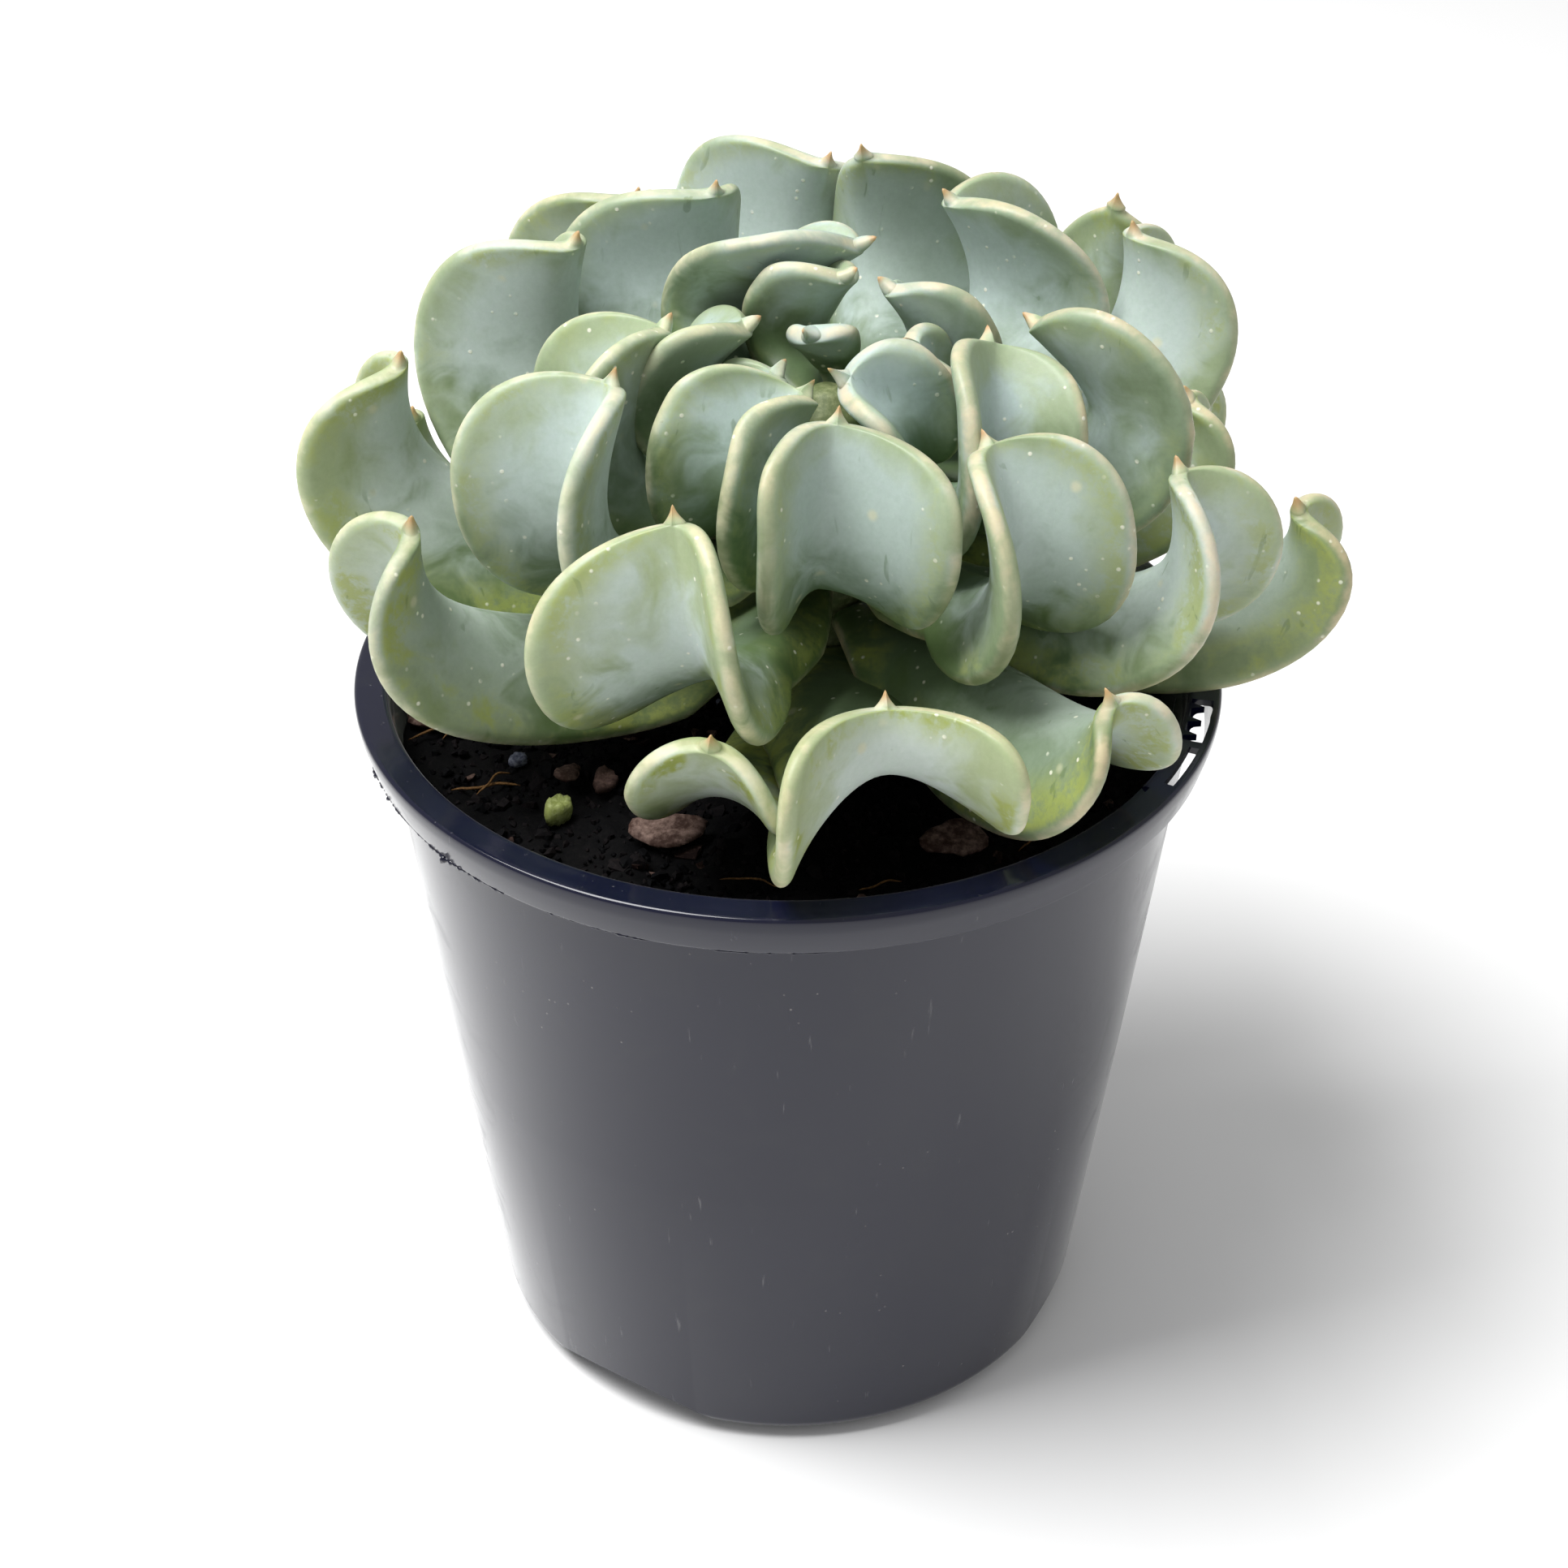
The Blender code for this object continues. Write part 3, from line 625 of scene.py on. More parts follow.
def nursery_pot():
    """The pot: a turned shell with roofed cut-outs in its foot and label openings in its rim."""
    under_rim = POT_HEIGHT - RIM_THICKNESS
    mouth = WALL_TOP_RADIUS - WALL
    outside = rounded([
        (0.0, 0.0), (FOOT_FLAT_RADIUS, 0.0),
        (FOOT_FLAT_RADIUS + FOOT_TURN_WIDTH, FOOT_TURN_RISE), (WALL_FOOT_RADIUS, FOOT_EDGE_HEIGHT),
        (wall_radius(WAIST_HEIGHT), WAIST_HEIGHT), (WALL_TOP_RADIUS, under_rim),
        (RIM_RADIUS - RIM_THICKNESS, under_rim),
        (SKIRT_RADIUS - 0.9, SKIRT_FOOT), (SKIRT_RADIUS, SKIRT_FOOT),
        (RIM_RADIUS - 0.1, POT_HEIGHT - 2.2), (RIM_RADIUS, POT_HEIGHT),
        (RIM_RADIUS - 3.2, POT_HEIGHT - 0.1), (mouth, POT_HEIGHT),
        (mouth - 0.3, POT_HEIGHT - 3.0), (mouth - 0.7, POT_HEIGHT - 4.0),
        (wall_radius(WAIST_HEIGHT) - WALL, WAIST_HEIGHT),
        (WALL_FOOT_RADIUS - WALL, FLOOR_THICKNESS + 2.7),
        (FOOT_FLAT_RADIUS + 2.2, FLOOR_THICKNESS + 0.7), (FOOT_FLAT_RADIUS - 1.0, FLOOR_THICKNESS),
        (0.0, FLOOR_THICKNESS),
    ], CORNER_ROUND)
    made = lathe("nursery_pot", outside, POT_SIDES, PLASTIC)

    def slope(share):
        """Top of a cut-out, which falls to below the ground at both ends."""
        rise = math.sin(math.pi * min(max(share, 0), 1)) ** 0.62
        return -DRAIN_SILL + (DRAIN_HEIGHT + DRAIN_SILL) * rise

    roofs, cutters = [], []
    for n, (angle, length) in enumerate(DRAINS):
        half = math.degrees(length / (FOOT_FLAT_RADIUS + WALL_FOOT_RADIUS))
        roofs.append(arc_block(f"drain_roof_{n + 1}", angle - half + ROOF_INSET,
                               angle + half - ROOF_INSET, lambda share: ROOF_SIDES, 0.6,
                               lambda share: max(slope(share) + ROOF_THICKNESS, 1.2)))
        cutters.append(arc_block(f"drain_cutter_{n + 1}", angle - half, angle + half,
                                 lambda share: DRAIN_SIDES, -3.0, slope))

    def barbed(share):
        """Radii of the label hole, whose inner side has three teeth."""
        tooth = 0.0
        if 0.05 < share < 0.95:
            tooth = max(0.0, 1.0 - abs((3.0 * share) % 1.0 - 0.5) * 5.0)
        return LABEL_HOLE[2] + BARB_LENGTH * tooth, LABEL_HOLE[3]

    def above(share):
        return POT_HEIGHT + 2.0

    below = under_rim - 2.0
    cutters.append(arc_block("hole_cutter", *LABEL_HOLE[:2], barbed, below, above))
    cutters.append(arc_block("slot_cutter", *LABEL_SLOT[:2], lambda share: LABEL_SLOT[2:],
                             below, above))
    cutters.append(arc_block("recess_cutter", *LABEL_RECESS[:2], lambda share: LABEL_RECESS[2:],
                             POT_HEIGHT - LABEL_RECESS_DEPTH, above))
    for block in roofs + cutters:
        step = made.modifiers.new(block.name, "BOOLEAN")
        step.operation = "UNION" if block in roofs else "DIFFERENCE"
        step.solver = "EXACT"
        step.object = block
    finished(made)
    for cutter in roofs + cutters:
        bpy.data.objects.remove(cutter)
    made.data.set_sharp_from_angle(angle=math.radians(SHARP_ANGLE))
    return placed(made, "pot_plastic", "pot")


def skirt_flash(name, start, stop, size, seed):
    """A ragged thread of moulding flash along the skirt's lower edge."""
    draw = np.random.default_rng(seed)
    turn = np.radians(np.arange(start, stop, 0.22))
    ragged = np.zeros(len(turn))
    for scale in (3.0, 11.0, 37.0):
        swell = np.sin(np.degrees(turn) * scale * 0.09 + draw.uniform(0, 6.3))
        ragged += np.abs(swell) ** 6 / scale ** 0.35
    ragged *= 0.6 + 0.4 * np.sin(np.degrees(turn) * 0.31 + draw.uniform(0, 6.3))
    spot = draw.uniform(0, 1, len(turn)) ** 8
    radii = size * (0.08 + 0.34 * ragged * (0.5 + 0.5 * spot))
    radius = SKIRT_RADIUS - 0.3 + 0.6 * radii
    height = SKIRT_FOOT - 0.3 * radii + 0.05
    path = np.stack([radius * np.cos(turn), radius * np.sin(turn), height], 1)
    return placed(tube_of(name, path, radii, 6, PLASTIC), "pot_plastic")


# -------------------- potting mix

def mix_height(x, y):
    """Height of the mix's rough top, in mm."""
    r = np.hypot(x, y)
    height = SOIL_LEVEL + 0.8 * (1 - (r / SOIL_EDGE) ** 2)
    height = height + 0.7 * (np.sin(0.21 * x + 1.3) + np.sin(0.17 * y - 0.13 * x))
    draw = np.random.default_rng(11)
    for scale, amount in ((0.35, 0.55), (0.8, 0.4), (1.7, 0.26), (3.3, 0.13)):
        for _ in range(4):
            angle, phase = draw.uniform(0, 2 * math.pi, 2)
            wave = np.sin(scale * (x * math.cos(angle) + y * math.sin(angle)) + phase)
            height = height + amount * 0.6 * wave * np.sin(0.4 * scale * (x - y) + 2 * phase)
    return height


def disc_points(edge, rings, sides):
    """A middle point and rings of points on the mix's top, out to a radius."""
    turn = circle(sides)
    points = [[0, 0, float(mix_height(0.0, 0.0))]]
    for ring in range(1, rings + 1):
        r = edge * ring / rings
        x, y = r * np.cos(turn), r * np.sin(turn)
        points += np.stack([x, y, mix_height(x, y)], 1).tolist()
    return points


def disc_faces(rings, sides, bottom=None):
    """Faces between those points, and from the last ring to a bottom point where there is one."""
    faces = []
    for i in range(sides):
        j = (i + 1) % sides
        faces.append([0, 1 + i, 1 + j])
        for ring in range(rings - 1):
            a, b = 1 + ring * sides, 1 + (ring + 1) * sides
            faces.append([a + i, b + i, b + j, a + j])
        if bottom:
            last = 1 + (rings - 1) * sides
            faces.append([last + j, last + i, bottom])
    return faces


def potting_mix():
    """The bed of potting mix: a rough top, and sides that follow the pot down to its floor."""
    turn = circle(SOIL_SIDES)
    points = disc_points(SOIL_EDGE, SOIL_RINGS, SOIL_SIDES)
    for r, z in SOIL_FLANKS:
        points += np.stack([r * np.cos(turn), r * np.sin(turn), 0 * turn + z], 1).tolist()
    faces = disc_faces(SOIL_RINGS + len(SOIL_FLANKS), SOIL_SIDES, len(points))
    points.append([0, 0, SOIL_UNDERSIDE])
    made = mesh_object("potting_mix_bed", points, faces, MIX)
    return placed(made, "potting_mix", "soil")


def scatter_tree():
    """Crumbs strewn on a surface: dented balls, turned, sized and flattened at random."""
    group = bpy.data.node_groups.new("strewn_crumbs", "GeometryNodeTree")
    for name, kind, value in (
            ("Surface", "NodeSocketGeometry", None), ("Density", "NodeSocketFloat", 1.0),
            ("Smallest", "NodeSocketFloat", 0.0005), ("Largest", "NodeSocketFloat", 0.001),
            ("Flatness", "NodeSocketFloat", 0.6), ("Tilt", "NodeSocketFloat", 3.14),
            ("Seed", "NodeSocketInt", 1), ("Look", "NodeSocketMaterial", None)):
        socket = group.interface.new_socket(name, in_out="INPUT", socket_type=kind)
        if value is not None:
            socket.default_value = value
    group.interface.new_socket("Crumbs", in_out="OUTPUT", socket_type="NodeSocketGeometry")
    t = Tree(group)
    given = t.add("NodeGroupInput").outputs
    strewn = t.add("GeometryNodeDistributePointsOnFaces",
                   {"Mesh": given["Surface"], "Density": given["Density"], "Seed": given["Seed"]})
    ball = t.add("GeometryNodeMeshIcoSphere", {"Radius": 1.0, "Subdivisions": 1})
    dent = t.add("ShaderNodeTexNoise", {"Scale": 1.1, "Detail": 1.0})
    out = t.add("ShaderNodeVectorMath", {0: dent.outputs["Color"], 1: (0.5, 0.5, 0.5)},
                operation="SUBTRACT")
    dented = t.add("GeometryNodeSetPosition",
                   {"Geometry": ball.outputs["Mesh"], "Offset": t.scaled(out.outputs[0], 1.7)})

    def drawn(low, high, offset, kind="FLOAT"):
        """A random value for each point, between low and high."""
        seed = t.plus(given["Seed"], offset)
        first, result = {"FLOAT_VECTOR": (0, 0), "FLOAT": (2, 1)}[kind]
        node = t.add("FunctionNodeRandomValue", {"Seed": seed, first: low, first + 1: high},
                     data_type=kind)
        return node.outputs[result]

    size = drawn(given["Smallest"], given["Largest"], 1)
    tilt = drawn((-1.0, -1.0, -6.28), (1.0, 1.0, 6.28), 2, "FLOAT_VECTOR")
    scale = t.add("ShaderNodeCombineXYZ", {0: given["Tilt"], 1: given["Tilt"], 2: 1.0}).outputs[0]
    tilt = t.add("ShaderNodeVectorMath", {0: tilt, 1: scale}, operation="MULTIPLY").outputs[0]
    wide = drawn(0.55, 1.0, 3)
    shape = t.add("ShaderNodeCombineXYZ", {0: 1.0, 1: wide, 2: given["Flatness"]}).outputs[0]
    each = t.add("GeometryNodeInstanceOnPoints",
                 {"Points": strewn.outputs["Points"], "Instance": dented.outputs[0],
                  "Rotation": tilt, "Scale": t.scaled(shape, size)})
    shade = drawn(0.0, 1.0, 4)
    kept = t.add("GeometryNodeStoreNamedAttribute",
                 {"Geometry": each.outputs[0], "Name": "shade", "Value": shade},
                 data_type="FLOAT", domain="INSTANCE")
    real = t.add("GeometryNodeRealizeInstances", {"Geometry": kept.outputs[0]})
    dressed = t.add("GeometryNodeSetMaterial",
                    {"Geometry": real.outputs[0], "Material": given["Look"]})
    end = t.add("NodeGroupOutput")
    t.feed(end, Crumbs=dressed.outputs[0])
    return group


STREWN_CRUMBS = scatter_tree()


def strewn(name, look, edge, **inputs):
    """A layer of crumbs on the mix out to a radius."""
    sides, rings = 60, 24
    made = mesh_object(name, disc_points(edge, rings, sides), disc_faces(rings, sides), look)
    step = made.modifiers.new("strewn", "NODES")
    step.node_group = STREWN_CRUMBS
    inputs["Look"] = look
    for item in STREWN_CRUMBS.interface.items_tree:
        if item.item_type == "SOCKET" and item.in_out == "INPUT" and item.name in inputs:
            step[item.identifier] = inputs[item.name]
    return placed(finished(made), "potting_mix")


def chip(name, x, y, length, width, thick, turn, tilt, lift, look, seed):
    """One irregular flat chip lying on the mix."""
    draw = np.random.default_rng(seed)
    sides, rings = 20, (0.5, 0.86, 1.0)
    angle = circle(sides)
    edge = 1 + 0.12 * np.sin(2 * angle + draw.uniform(0, 6))
    edge = edge + 0.1 * np.sin(3 * angle + draw.uniform(0, 6))
    edge = edge + draw.uniform(-0.06, 0.06, sides)
    points = []
    for up in (1, -1):
        for share in rings:
            z = up * thick / 2 * (1.0 if share < 0.9 else 0.25)
            z = z + 0.12 * thick * draw.uniform(-1, 1, sides)
            x_at = length / 2 * share * edge * np.cos(angle)
            y_at = width / 2 * share * edge * np.sin(angle)
            points += np.stack([x_at, y_at, z], 1).tolist()
    points += [[0, 0, thick / 2], [0, 0, -thick / 2]]
    faces = []
    for i in range(sides):
        j = (i + 1) % sides
        for ring in range(2):
            a, b = ring * sides, (ring + 1) * sides
            faces.append([a + i, b + i, b + j, a + j])
            a, b = (3 + ring) * sides, (4 + ring) * sides
            faces.append([a + j, b + j, b + i, a + i])
        faces.append([2 * sides + i, 5 * sides + i, 5 * sides + j, 2 * sides + j])
        faces.append([6 * sides, i, j])
        faces.append([6 * sides + 1, 3 * sides + j, 3 * sides + i])
    points = np.array(points)
    for angle, axes in ((tilt, slice(1, 3)), (turn, slice(0, 2))):
        c, s = math.cos(math.radians(angle)), math.sin(math.radians(angle))
        points[:, axes] = points[:, axes] @ np.array([[c, s], [-s, c]])
    points += [x, y, float(mix_height(x, y)) + lift]
    made = mesh_object(name, points, faces, look)
    add_values(made, "shade", np.full(len(points), draw.uniform(0.35, 0.75)))
    return placed(made, "potting_mix")


def fibre(name, x, y, length, turn, arch, thick, seed):
    """One dry fibre lying on the mix."""
    draw = np.random.default_rng(seed)
    t = np.linspace(-0.5, 0.5, 14)
    bend = draw.uniform(-0.25, 0.25) * length
    c, s = math.cos(math.radians(turn)), math.sin(math.radians(turn))
    along, off = t * length, bend * (t**2) + 0.3 * np.sin(9 * t)
    px, py = x + along * c - off * s, y + along * s + off * c
    pz = mix_height(px, py) * 0.3 + float(mix_height(x, y)) * 0.7 + 1.4 + arch * (0.25 - t**2) * 4
    radii = thick / 2 * np.sqrt(np.clip(1 - (2.05 * t) ** 4, 0.05, 1))
    return placed(tube_of(name, np.stack([px, py, pz], 1), radii, 6, FIBRE), "potting_mix")


# -------------------- stem

def stem():
    """The stem, with faint leaf scars that wind round it."""
    radii, heights = np.array(STEM_PROFILE).T
    low, high = heights[0], heights[-1]
    sides, rings = 48, 90
    turn = circle(sides)
    points, faces = [], []
    for h in np.linspace(low - 3.0, high, rings):
        scar = 0.35 * np.sin(0.9 * h + 2.0 * turn) ** 8 + 0.2 * np.sin(1.7 * h - 3.0 * turn)
        r = np.interp(h, heights, radii) - 0.4 + scar * min(1.0, (high - h) / 6.0)
        points += np.stack([ROSETTE_X + r * np.cos(turn), ROSETTE_Y + r * np.sin(turn),
                            0 * turn + SOIL_LEVEL + h], 1).tolist()
    for ring in range(rings - 1):
        faces += band(ring * sides, (ring + 1) * sides, sides, turned=True)
    faces.append(list(reversed(range(sides))))
    faces.append([(rings - 1) * sides + i for i in range(sides)])
    return placed(mesh_object("stem_core", points, faces, STEM_SKIN), "stem", "stem")


# -------------------- leaves

def midrib(root, bend, tip, hug):
    """Points of the leaf's centre line as (r, h), and the length run at each."""
    t = np.linspace(0.0, 1.0, 241)[:, None]
    a, b, c = (1 - t) ** 2, 2 * hug * t * (1 - t), t**2
    line = (a * np.array(root) + b * np.array(bend) + c * np.array(tip)) / (a + b + c)
    steps = np.linalg.norm(np.diff(line, axis=0), axis=1)
    return line, np.concatenate([[0.0], np.cumsum(steps)])


def outline(s, end, neck, widest, flat, disc, point, stalk):
    """Share of the half width at each share s of the length.

    The blade widens from neck to widest, keeps that width over flat, and closes at end, where the
    spur starts. disc makes it widen as a circle does, and a small point closes it bluntly.
    """
    x = np.clip((s - neck) / (widest - neck), 0.0, 1.0)
    y = np.clip((s - widest - flat) / (end - widest - flat), 0.0, 1.0)
    base = np.interp(s, [0.0, 0.25], [ROOT_SHARE, stalk])
    slim, round_end = np.sin(0.5 * math.pi * x), (1 - (1 - x) ** 2) ** 0.5
    rise = base + (1.0 - base) * ((1 - disc) * slim + disc * round_end)
    return np.where(s < widest, rise, np.maximum((1 - y**2) ** point, TIP_SHARE))


def leaf_surfaces(turn, root_h, bend, tip, sway, halves, folds, extra, seed):
    """Upper and lower grids of one leaf's points, their room to the margin and its stations."""
    draw = np.random.default_rng(seed)
    own = {**USUAL_LEAF, **extra}
    widest = own["widest"]
    angle = math.radians(turn)
    out = np.array([math.sin(angle), -math.cos(angle), 0.0])
    side = np.array([math.cos(angle), math.sin(angle), 0.0])
    up = np.array([0.0, 0.0, 1.0])
    line, run = midrib((LEAF_ROOT_RADIUS, root_h), bend, tip, own["hug"])
    length = run[-1]
    end = 1.0 - SPUR_LENGTH / length
    low = LEAF_STATIONS // 2
    high = LEAF_STATIONS - low - SPUR_STATIONS
    s = np.concatenate([
        np.linspace(0.0, widest, low, endpoint=False),
        widest + (end - widest) * np.sin(np.linspace(0.0, math.pi / 2, high)),
        np.linspace(end, 1.0, SPUR_STATIONS + 1)[1:],
    ])

    def at(share):
        where = np.clip(share, 0.0, 1.0) * length
        return np.stack([np.interp(where, run, line[:, 0]), np.interp(where, run, line[:, 1])], 1)

    centre = at(s)
    slope = unit(at(s + 0.01) - at(s - 0.01))
    middle = np.array([ROSETTE_X, ROSETTE_Y, SOIL_LEVEL]) + centre[:, :1] * out + centre[:, 1:] * up
    middle = middle + (sway * s**2)[:, None] * side
    along = slope[:, :1] * out + slope[:, 1:] * up + (2 * sway * s / length)[:, None] * side
    along = unit(along)
    face = slope[:, :1] * up - slope[:, 1:] * out
    across = unit(np.cross(face, along))
    face = unit(np.cross(along, across))
    roll = math.radians(own["roll"]) * np.clip(s / widest, 0.0, 1.0)
    c, d = np.cos(roll)[:, None], np.sin(roll)[:, None]
    across, face = across * c + face * d, face * c - across * d

    share = outline(s, end, *(own[n] for n in ("neck", "widest", "flat", "disc", "point", "stalk")))
    left_over = np.clip((1.0 - s) * length / SPUR_LENGTH, 0.0, 1.0)
    spur = np.where(s > 0.8, 0.16 + (SPUR_BASE - 0.16) * left_over**1.7, 0.0)
    folding = np.clip(s / FOLDED_FROM, 0.0, 1.0)
    u = np.sin(np.linspace(-math.pi / 2, math.pi / 2, LEAF_ACROSS))
    thick = LEAF_THICKNESS * np.interp(s, [0, 0.2, 0.6, 0.97, 1], [0.8, 1.05, 1.0, 0.75, 0.4])
    half = np.where(u[None, :] < 0, halves[0], halves[1]) * share[:, None]
    half = np.maximum(half, spur[:, None])
    fold = np.where(u < 0, folds[0], folds[1])
    sign = np.where(u < 0, -1.0, 1.0)

    # Each lobe turns down beside the midrib, within keel mm of it, and then curls on evenly.
    reach = np.zeros((LEAF_STATIONS, LEAF_ACROSS))
    drop = np.zeros_like(reach)
    width = np.abs(u)[None, :] * half
    bent = np.zeros_like(width)
    for k in range(FOLD_STEPS):
        t = width * (k + 0.5) / FOLD_STEPS
        bent = fold * (1 - np.exp(-t / own["keel"])) + own["curl"] * t
        bent = np.radians(bent * folding[:, None])
        reach += np.cos(bent) * width / FOLD_STEPS
        drop += np.sin(bent) * width / FOLD_STEPS
    across, face = across[:, None], face[:, None]
    grid = middle[:, None] + across * (sign * reach)[..., None] - face * drop[..., None]
    normal = face * np.cos(bent)[..., None] + across * (sign * np.sin(bent))[..., None]

    # The margin waves a little, and the faces rise and fall softly.
    phase = draw.uniform(0.0, 2 * math.pi, 6)
    amount = draw.uniform(0.5, 1.0, 3)
    rim = np.clip(np.abs(u), 0, 1)[None, :] ** 3 * np.clip((s - 0.3) / 0.3, 0, 1)[:, None]
    wave = np.sin(9.0 * s[:, None] + phase[0] + sign * phase[1]) * amount[0]
    wave = wave + 0.5 * np.sin(17.0 * s[:, None] + phase[2] + sign * phase[3]) * amount[1]
    soft = 0.3 * np.sin(11 * s[:, None] + phase[4]) * np.sin(4.0 * u[None, :] + phase[5])
    calm = np.clip((1.0 - s) * length / 8.0, 0, 1)[:, None]
    wave = own["wave"] * rim * wave * np.sqrt(width / 15.0) + soft * folding[:, None]
    grid = grid + normal * (calm * wave)[..., None]

    # The blade thins to a rounded edge, and has a shallow groove along its upper side.
    side_room = half * (1 - np.abs(u))[None, :]
    tip_room = np.maximum((1 - s) * length, 0)[:, None] + 0 * side_room
    room = 1.0 / np.sqrt(1.0 / (side_room + 1e-6) ** 2 + 0.25 / (tip_room + 1e-6) ** 2)
    rounding = np.clip(1 - (1 - np.clip(room / EDGE_ROUND, 0, 1)) ** 2, 0, 1) ** 0.5
    groove = 1.0 - 0.16 * np.exp(-(width / 1.6) ** 2) * folding[:, None]
    depth = thick[:, None] / 2 * rounding * (1 - 0.1 * np.abs(u))[None, :]
    offset = normal * depth[..., None]
    return grid + offset * groove[..., None], grid - offset, room, s


def leaf(name, spec, seed):
    """One closed leaf, with the values that its material reads."""
    top, bottom, room, s = leaf_surfaces(*spec, seed)
    rows, cols = room.shape
    ring = list(range(cols)) + [cols + j for j in range(cols - 2, 0, -1)]
    both = np.concatenate([top, bottom], axis=1)[:, ring]
    count = len(ring)
    points = both[:-1].reshape(-1, 3)
    tip_at = (top[-1, cols // 2] + bottom[-1, cols // 2]) / 2
    points = np.concatenate([points, [tip_at, both[0].mean(0)]])
    tip_index, root_index = len(points) - 2, len(points) - 1
    faces = []
    for i in range(rows - 2):
        faces += band(i * count, (i + 1) * count, count)
    last = (rows - 2) * count
    for j in range(count):
        k = (j + 1) % count
        faces.append([last + j, tip_index, last + k])
        faces.append([j, k, root_index])
    made = mesh_object(name, points, faces, LEAF_LOOK)
    edge = np.concatenate([room, room], axis=1)[:, ring][:-1].ravel()
    under = np.concatenate([0 * room, 1 + 0 * room], axis=1)[:, ring][:-1].ravel()
    length = np.repeat(s[:-1], count)
    tone = np.random.default_rng(100 + seed).uniform(0.2, 0.9)

    turn, root_h, extra = spec[0], spec[1], spec[-1]
    age = min(max(1.0 - (root_h - OLDEST_ROOT) / AGE_SPAN, 0.0), 1.0)
    warm = 0.5 + 0.5 * math.sin(math.radians(turn))
    # Each lobe's lost bloom, which also paints shade in deep green on lobes that lie in shade.
    bare = extra.get("bare", USUAL_LEAF["bare"])
    bare = np.interp(np.linspace(-1.0, 1.0, cols), [-0.2, 0.2], bare)
    bare = np.tile(np.concatenate([bare, bare])[ring], rows - 1)

    # The last two points close the tip and the root.
    for value_name, values, at_ends in (("margin", edge, (0.0, 5.0)), ("under", under, (0.5, 0.5)),
                                        ("along", length, (1.0, 0.0)), ("bare", bare, (0.0, 0.0))):
        add_values(made, value_name, np.append(values, at_ends))
    for value_name, value in (("age", age), ("tone", tone), ("warm", warm)):
        add_values(made, value_name, np.full(len(points), value))
    return placed(made, "leaf", name)


# -------------------- the object

nursery_pot()
for number, (flash_start, flash_stop, flash_size) in enumerate(FLASH_ARCS):
    skirt_flash(f"skirt_flash_{number + 1}", flash_start, flash_stop, flash_size, 40 + number)

potting_mix()
strewn("fine_crumbs", CRUMBS, 62.0, Density=260000.0, Smallest=0.00035, Largest=0.0009,
       Flatness=0.7, Seed=3)
strewn("coarse_crumbs", CRUMBS, 61.0, Density=60000.0, Smallest=0.0008, Largest=0.0019,
       Flatness=0.65, Seed=5)
strewn("bark_bits", BARK, 60.0, Density=7000.0, Smallest=0.001, Largest=0.0026, Flatness=0.35,
       Tilt=0.6, Seed=8)
strewn("grit_bits", GRIT, 60.0, Density=1500.0, Smallest=0.0005, Largest=0.0011, Flatness=0.8,
       Seed=13)

# name: (x, y, length, width, thickness, turn, tilt, lift, look)
CHIPS = {
    "bark_flake_left": (-18.7, -33.0, 11.0, 7.5, 1.2, 5, 14, 3.0, FLAKE),
    "bark_flake_right": (25.6, -36.6, 9.5, 7.5, 1.4, 20, 15, 3.0, FLAKE),
    "bark_flake_rim": (-58.0, -1.0, 8.0, 9.0, 1.3, 60, -14, 3.0, FLAKE),
    "bark_sliver": (-35.0, -18.0, 4.0, 8.0, 1.2, 160, 20, 2.6, FLAKE),
    "bark_crumb": (-29.0, -20.5, 4.5, 4.0, 2.0, 30, 25, 2.0, BARK),
    "grey_pebble": (-43.6, -11.0, 3.0, 2.4, 1.8, 20, 0, 1.6, GRIT),
}
for number, (chip_name, numbers) in enumerate(CHIPS.items()):
    chip(chip_name, *numbers, seed=60 + number)
chip("pale_bead", -36.1, -27.0, 4.3, 4.0, 3.8, 30, 10, 2.4, BEAD, 71)

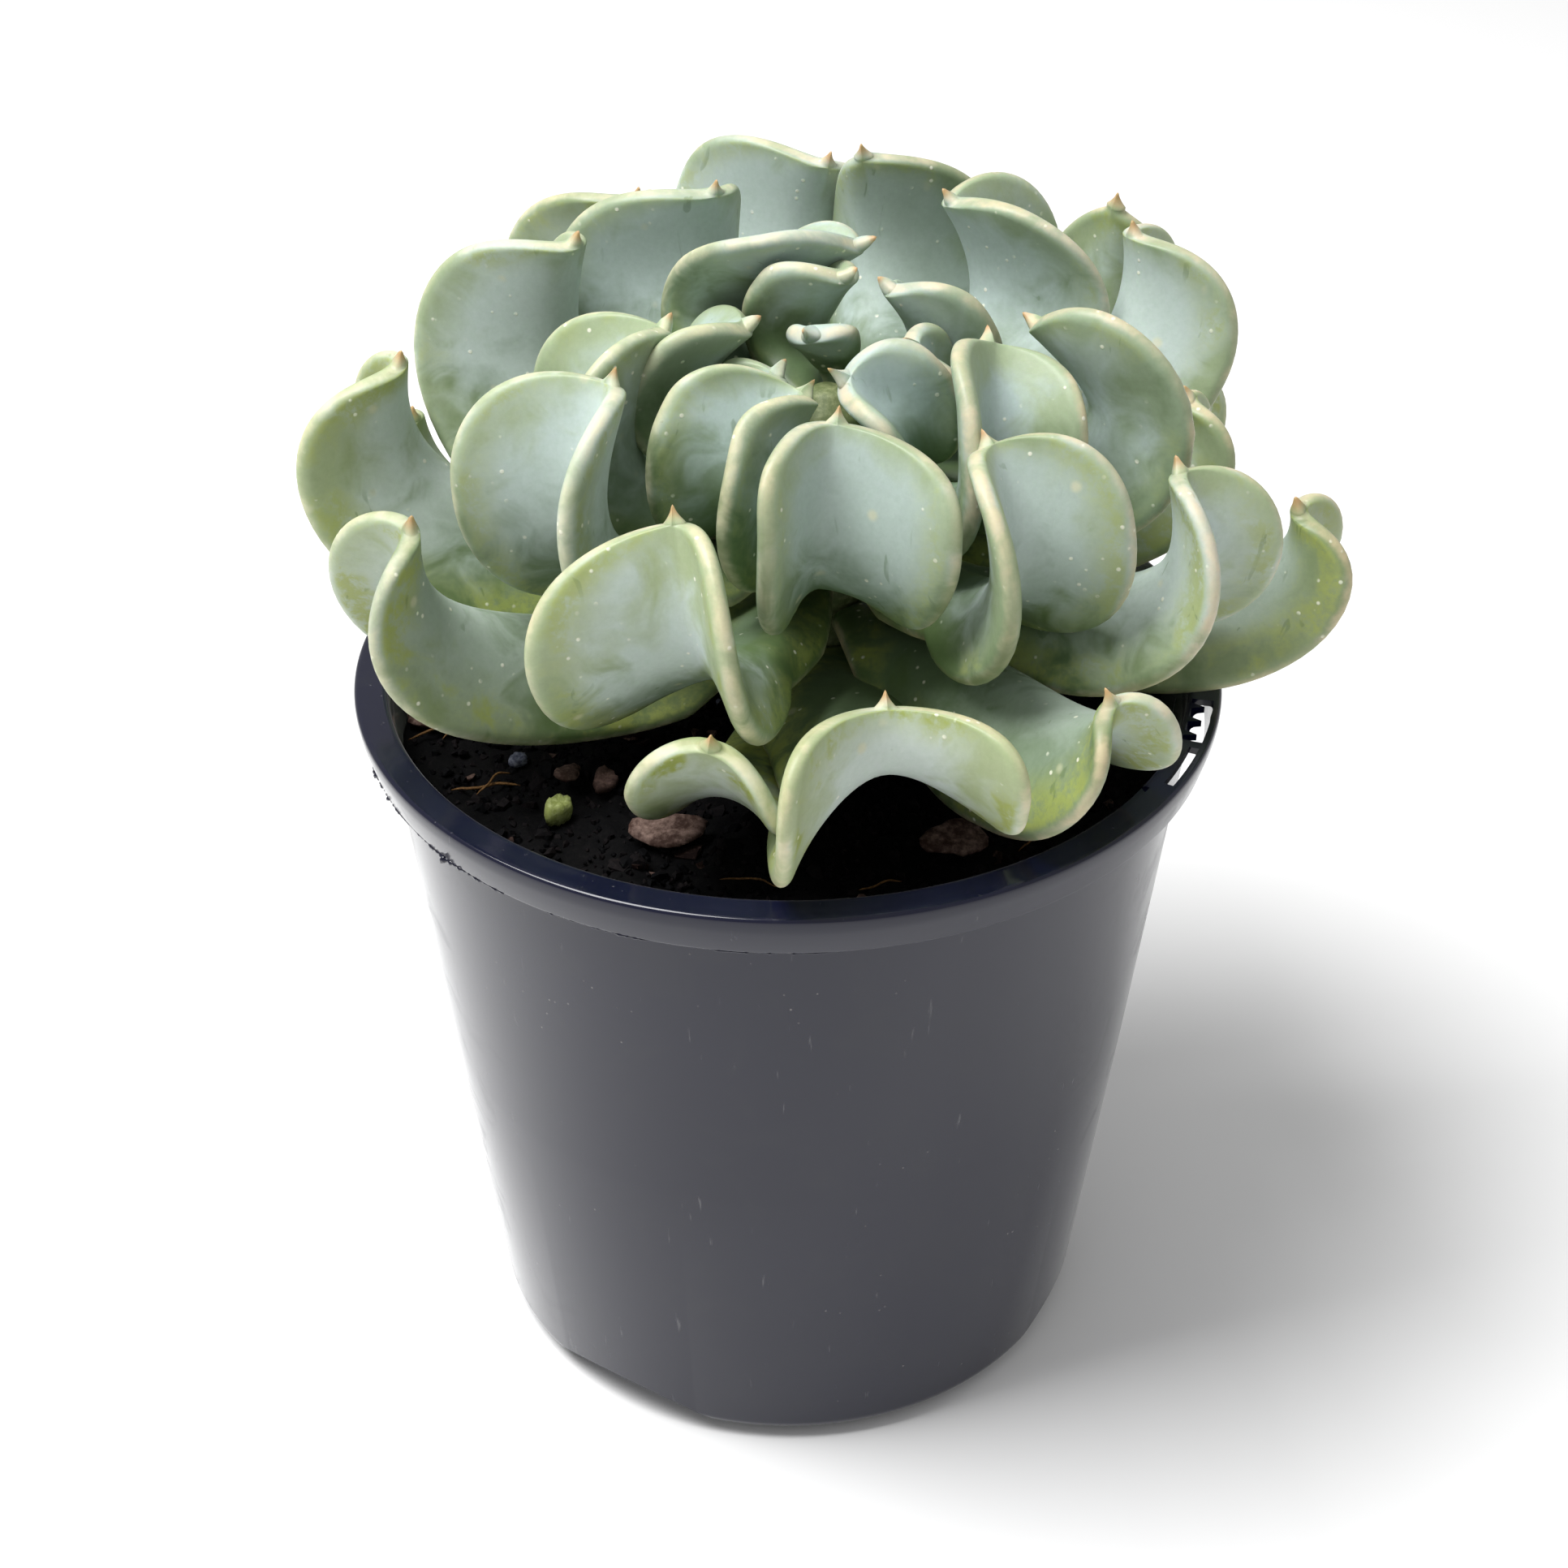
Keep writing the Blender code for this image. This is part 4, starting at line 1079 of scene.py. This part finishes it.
# (x, y, length, turn, arch, thickness)
FIBRES = (
    (-48.1, -18.5, 11.0, 10, 0.8, 0.5),
    (-47.0, -17.5, 8.0, 55, 1.2, 0.4),
    (-56.0, -3.5, 13.0, 40, 1.0, 0.5),
    (-54.0, -1.5, 10.0, 65, 0.7, 0.4),
    (-1.4, -41.5, 6.0, 70, 0.6, 0.4),
    (-6.0, -44.0, 9.0, -12, 0.5, 0.35),
    (14.0, -46.0, 7.0, 25, 0.5, 0.35),
    (38.0, -34.0, 9.0, 60, 0.8, 0.4),
)
for number, numbers in enumerate(FIBRES):
    fibre(f"straw_{number + 1}", *numbers, seed=80 + number)

stem()
for number, leaf_spec in LEAVES.items():
    leaf(f"leaf_{number:02d}", leaf_spec, number)

# -------------------- floor, light and camera

FLOOR_HALF = 3000.0
FLOOR_LEVEL = -0.05
LIGHT_FLOOR, SHADED_FLOOR = (0.93, 0.93, 0.93, 1.0), (0.9, 0.9, 0.9, 1.0)
floor_look, floor_tree, floor_shader = new_look("pale_floor", 0.9)
cloudy = floor_tree.noise(floor_tree.object_place(), 3.0)
floor_tree.feed(floor_shader, Base_Color=floor_tree.mix(cloudy, LIGHT_FLOOR, SHADED_FLOOR))
floor_corners = [(x * FLOOR_HALF, y * FLOOR_HALF, FLOOR_LEVEL)
                 for x, y in ((-1, -1), (1, -1), (1, 1), (-1, 1))]
floor = mesh_object("floor", floor_corners, [[0, 1, 2, 3]], floor_look)

scene = bpy.context.scene
scene.view_settings.view_transform = "Standard"
world = bpy.data.worlds.new("studio")
scene.world = world
world.use_nodes = True
background = world.node_tree.nodes["Background"]
background.inputs["Color"].default_value = (1.0, 1.0, 1.0, 1.0)
background.inputs["Strength"].default_value = 0.5


def aimed(name, data, at, aim):
    """Places a light or a camera so that it looks at a point."""
    made = bpy.data.objects.new(name, data)
    made.location = at
    made.rotation_euler = (Vector(aim) - Vector(at)).to_track_quat("-Z", "Y").to_euler()
    scene.collection.objects.link(made)
    return made


# Places in metres, power in watts.
key = bpy.data.lights.new("key", "AREA")
key.shape = "RECTANGLE"
key.size, key.size_y = 0.7, 0.7
key.energy = 23
aimed("key", key, (-0.5, -0.1, 1.25), (0, 0, 0.12))

view = bpy.data.cameras.new("camera")
view.lens = 67.4
view.sensor_width = 36.0
scene.camera = aimed("camera", view, (-0.00064, -0.4041, 0.3782), (-0.00064, 0.0, 0.1012))

bpy.context.view_layer.update()
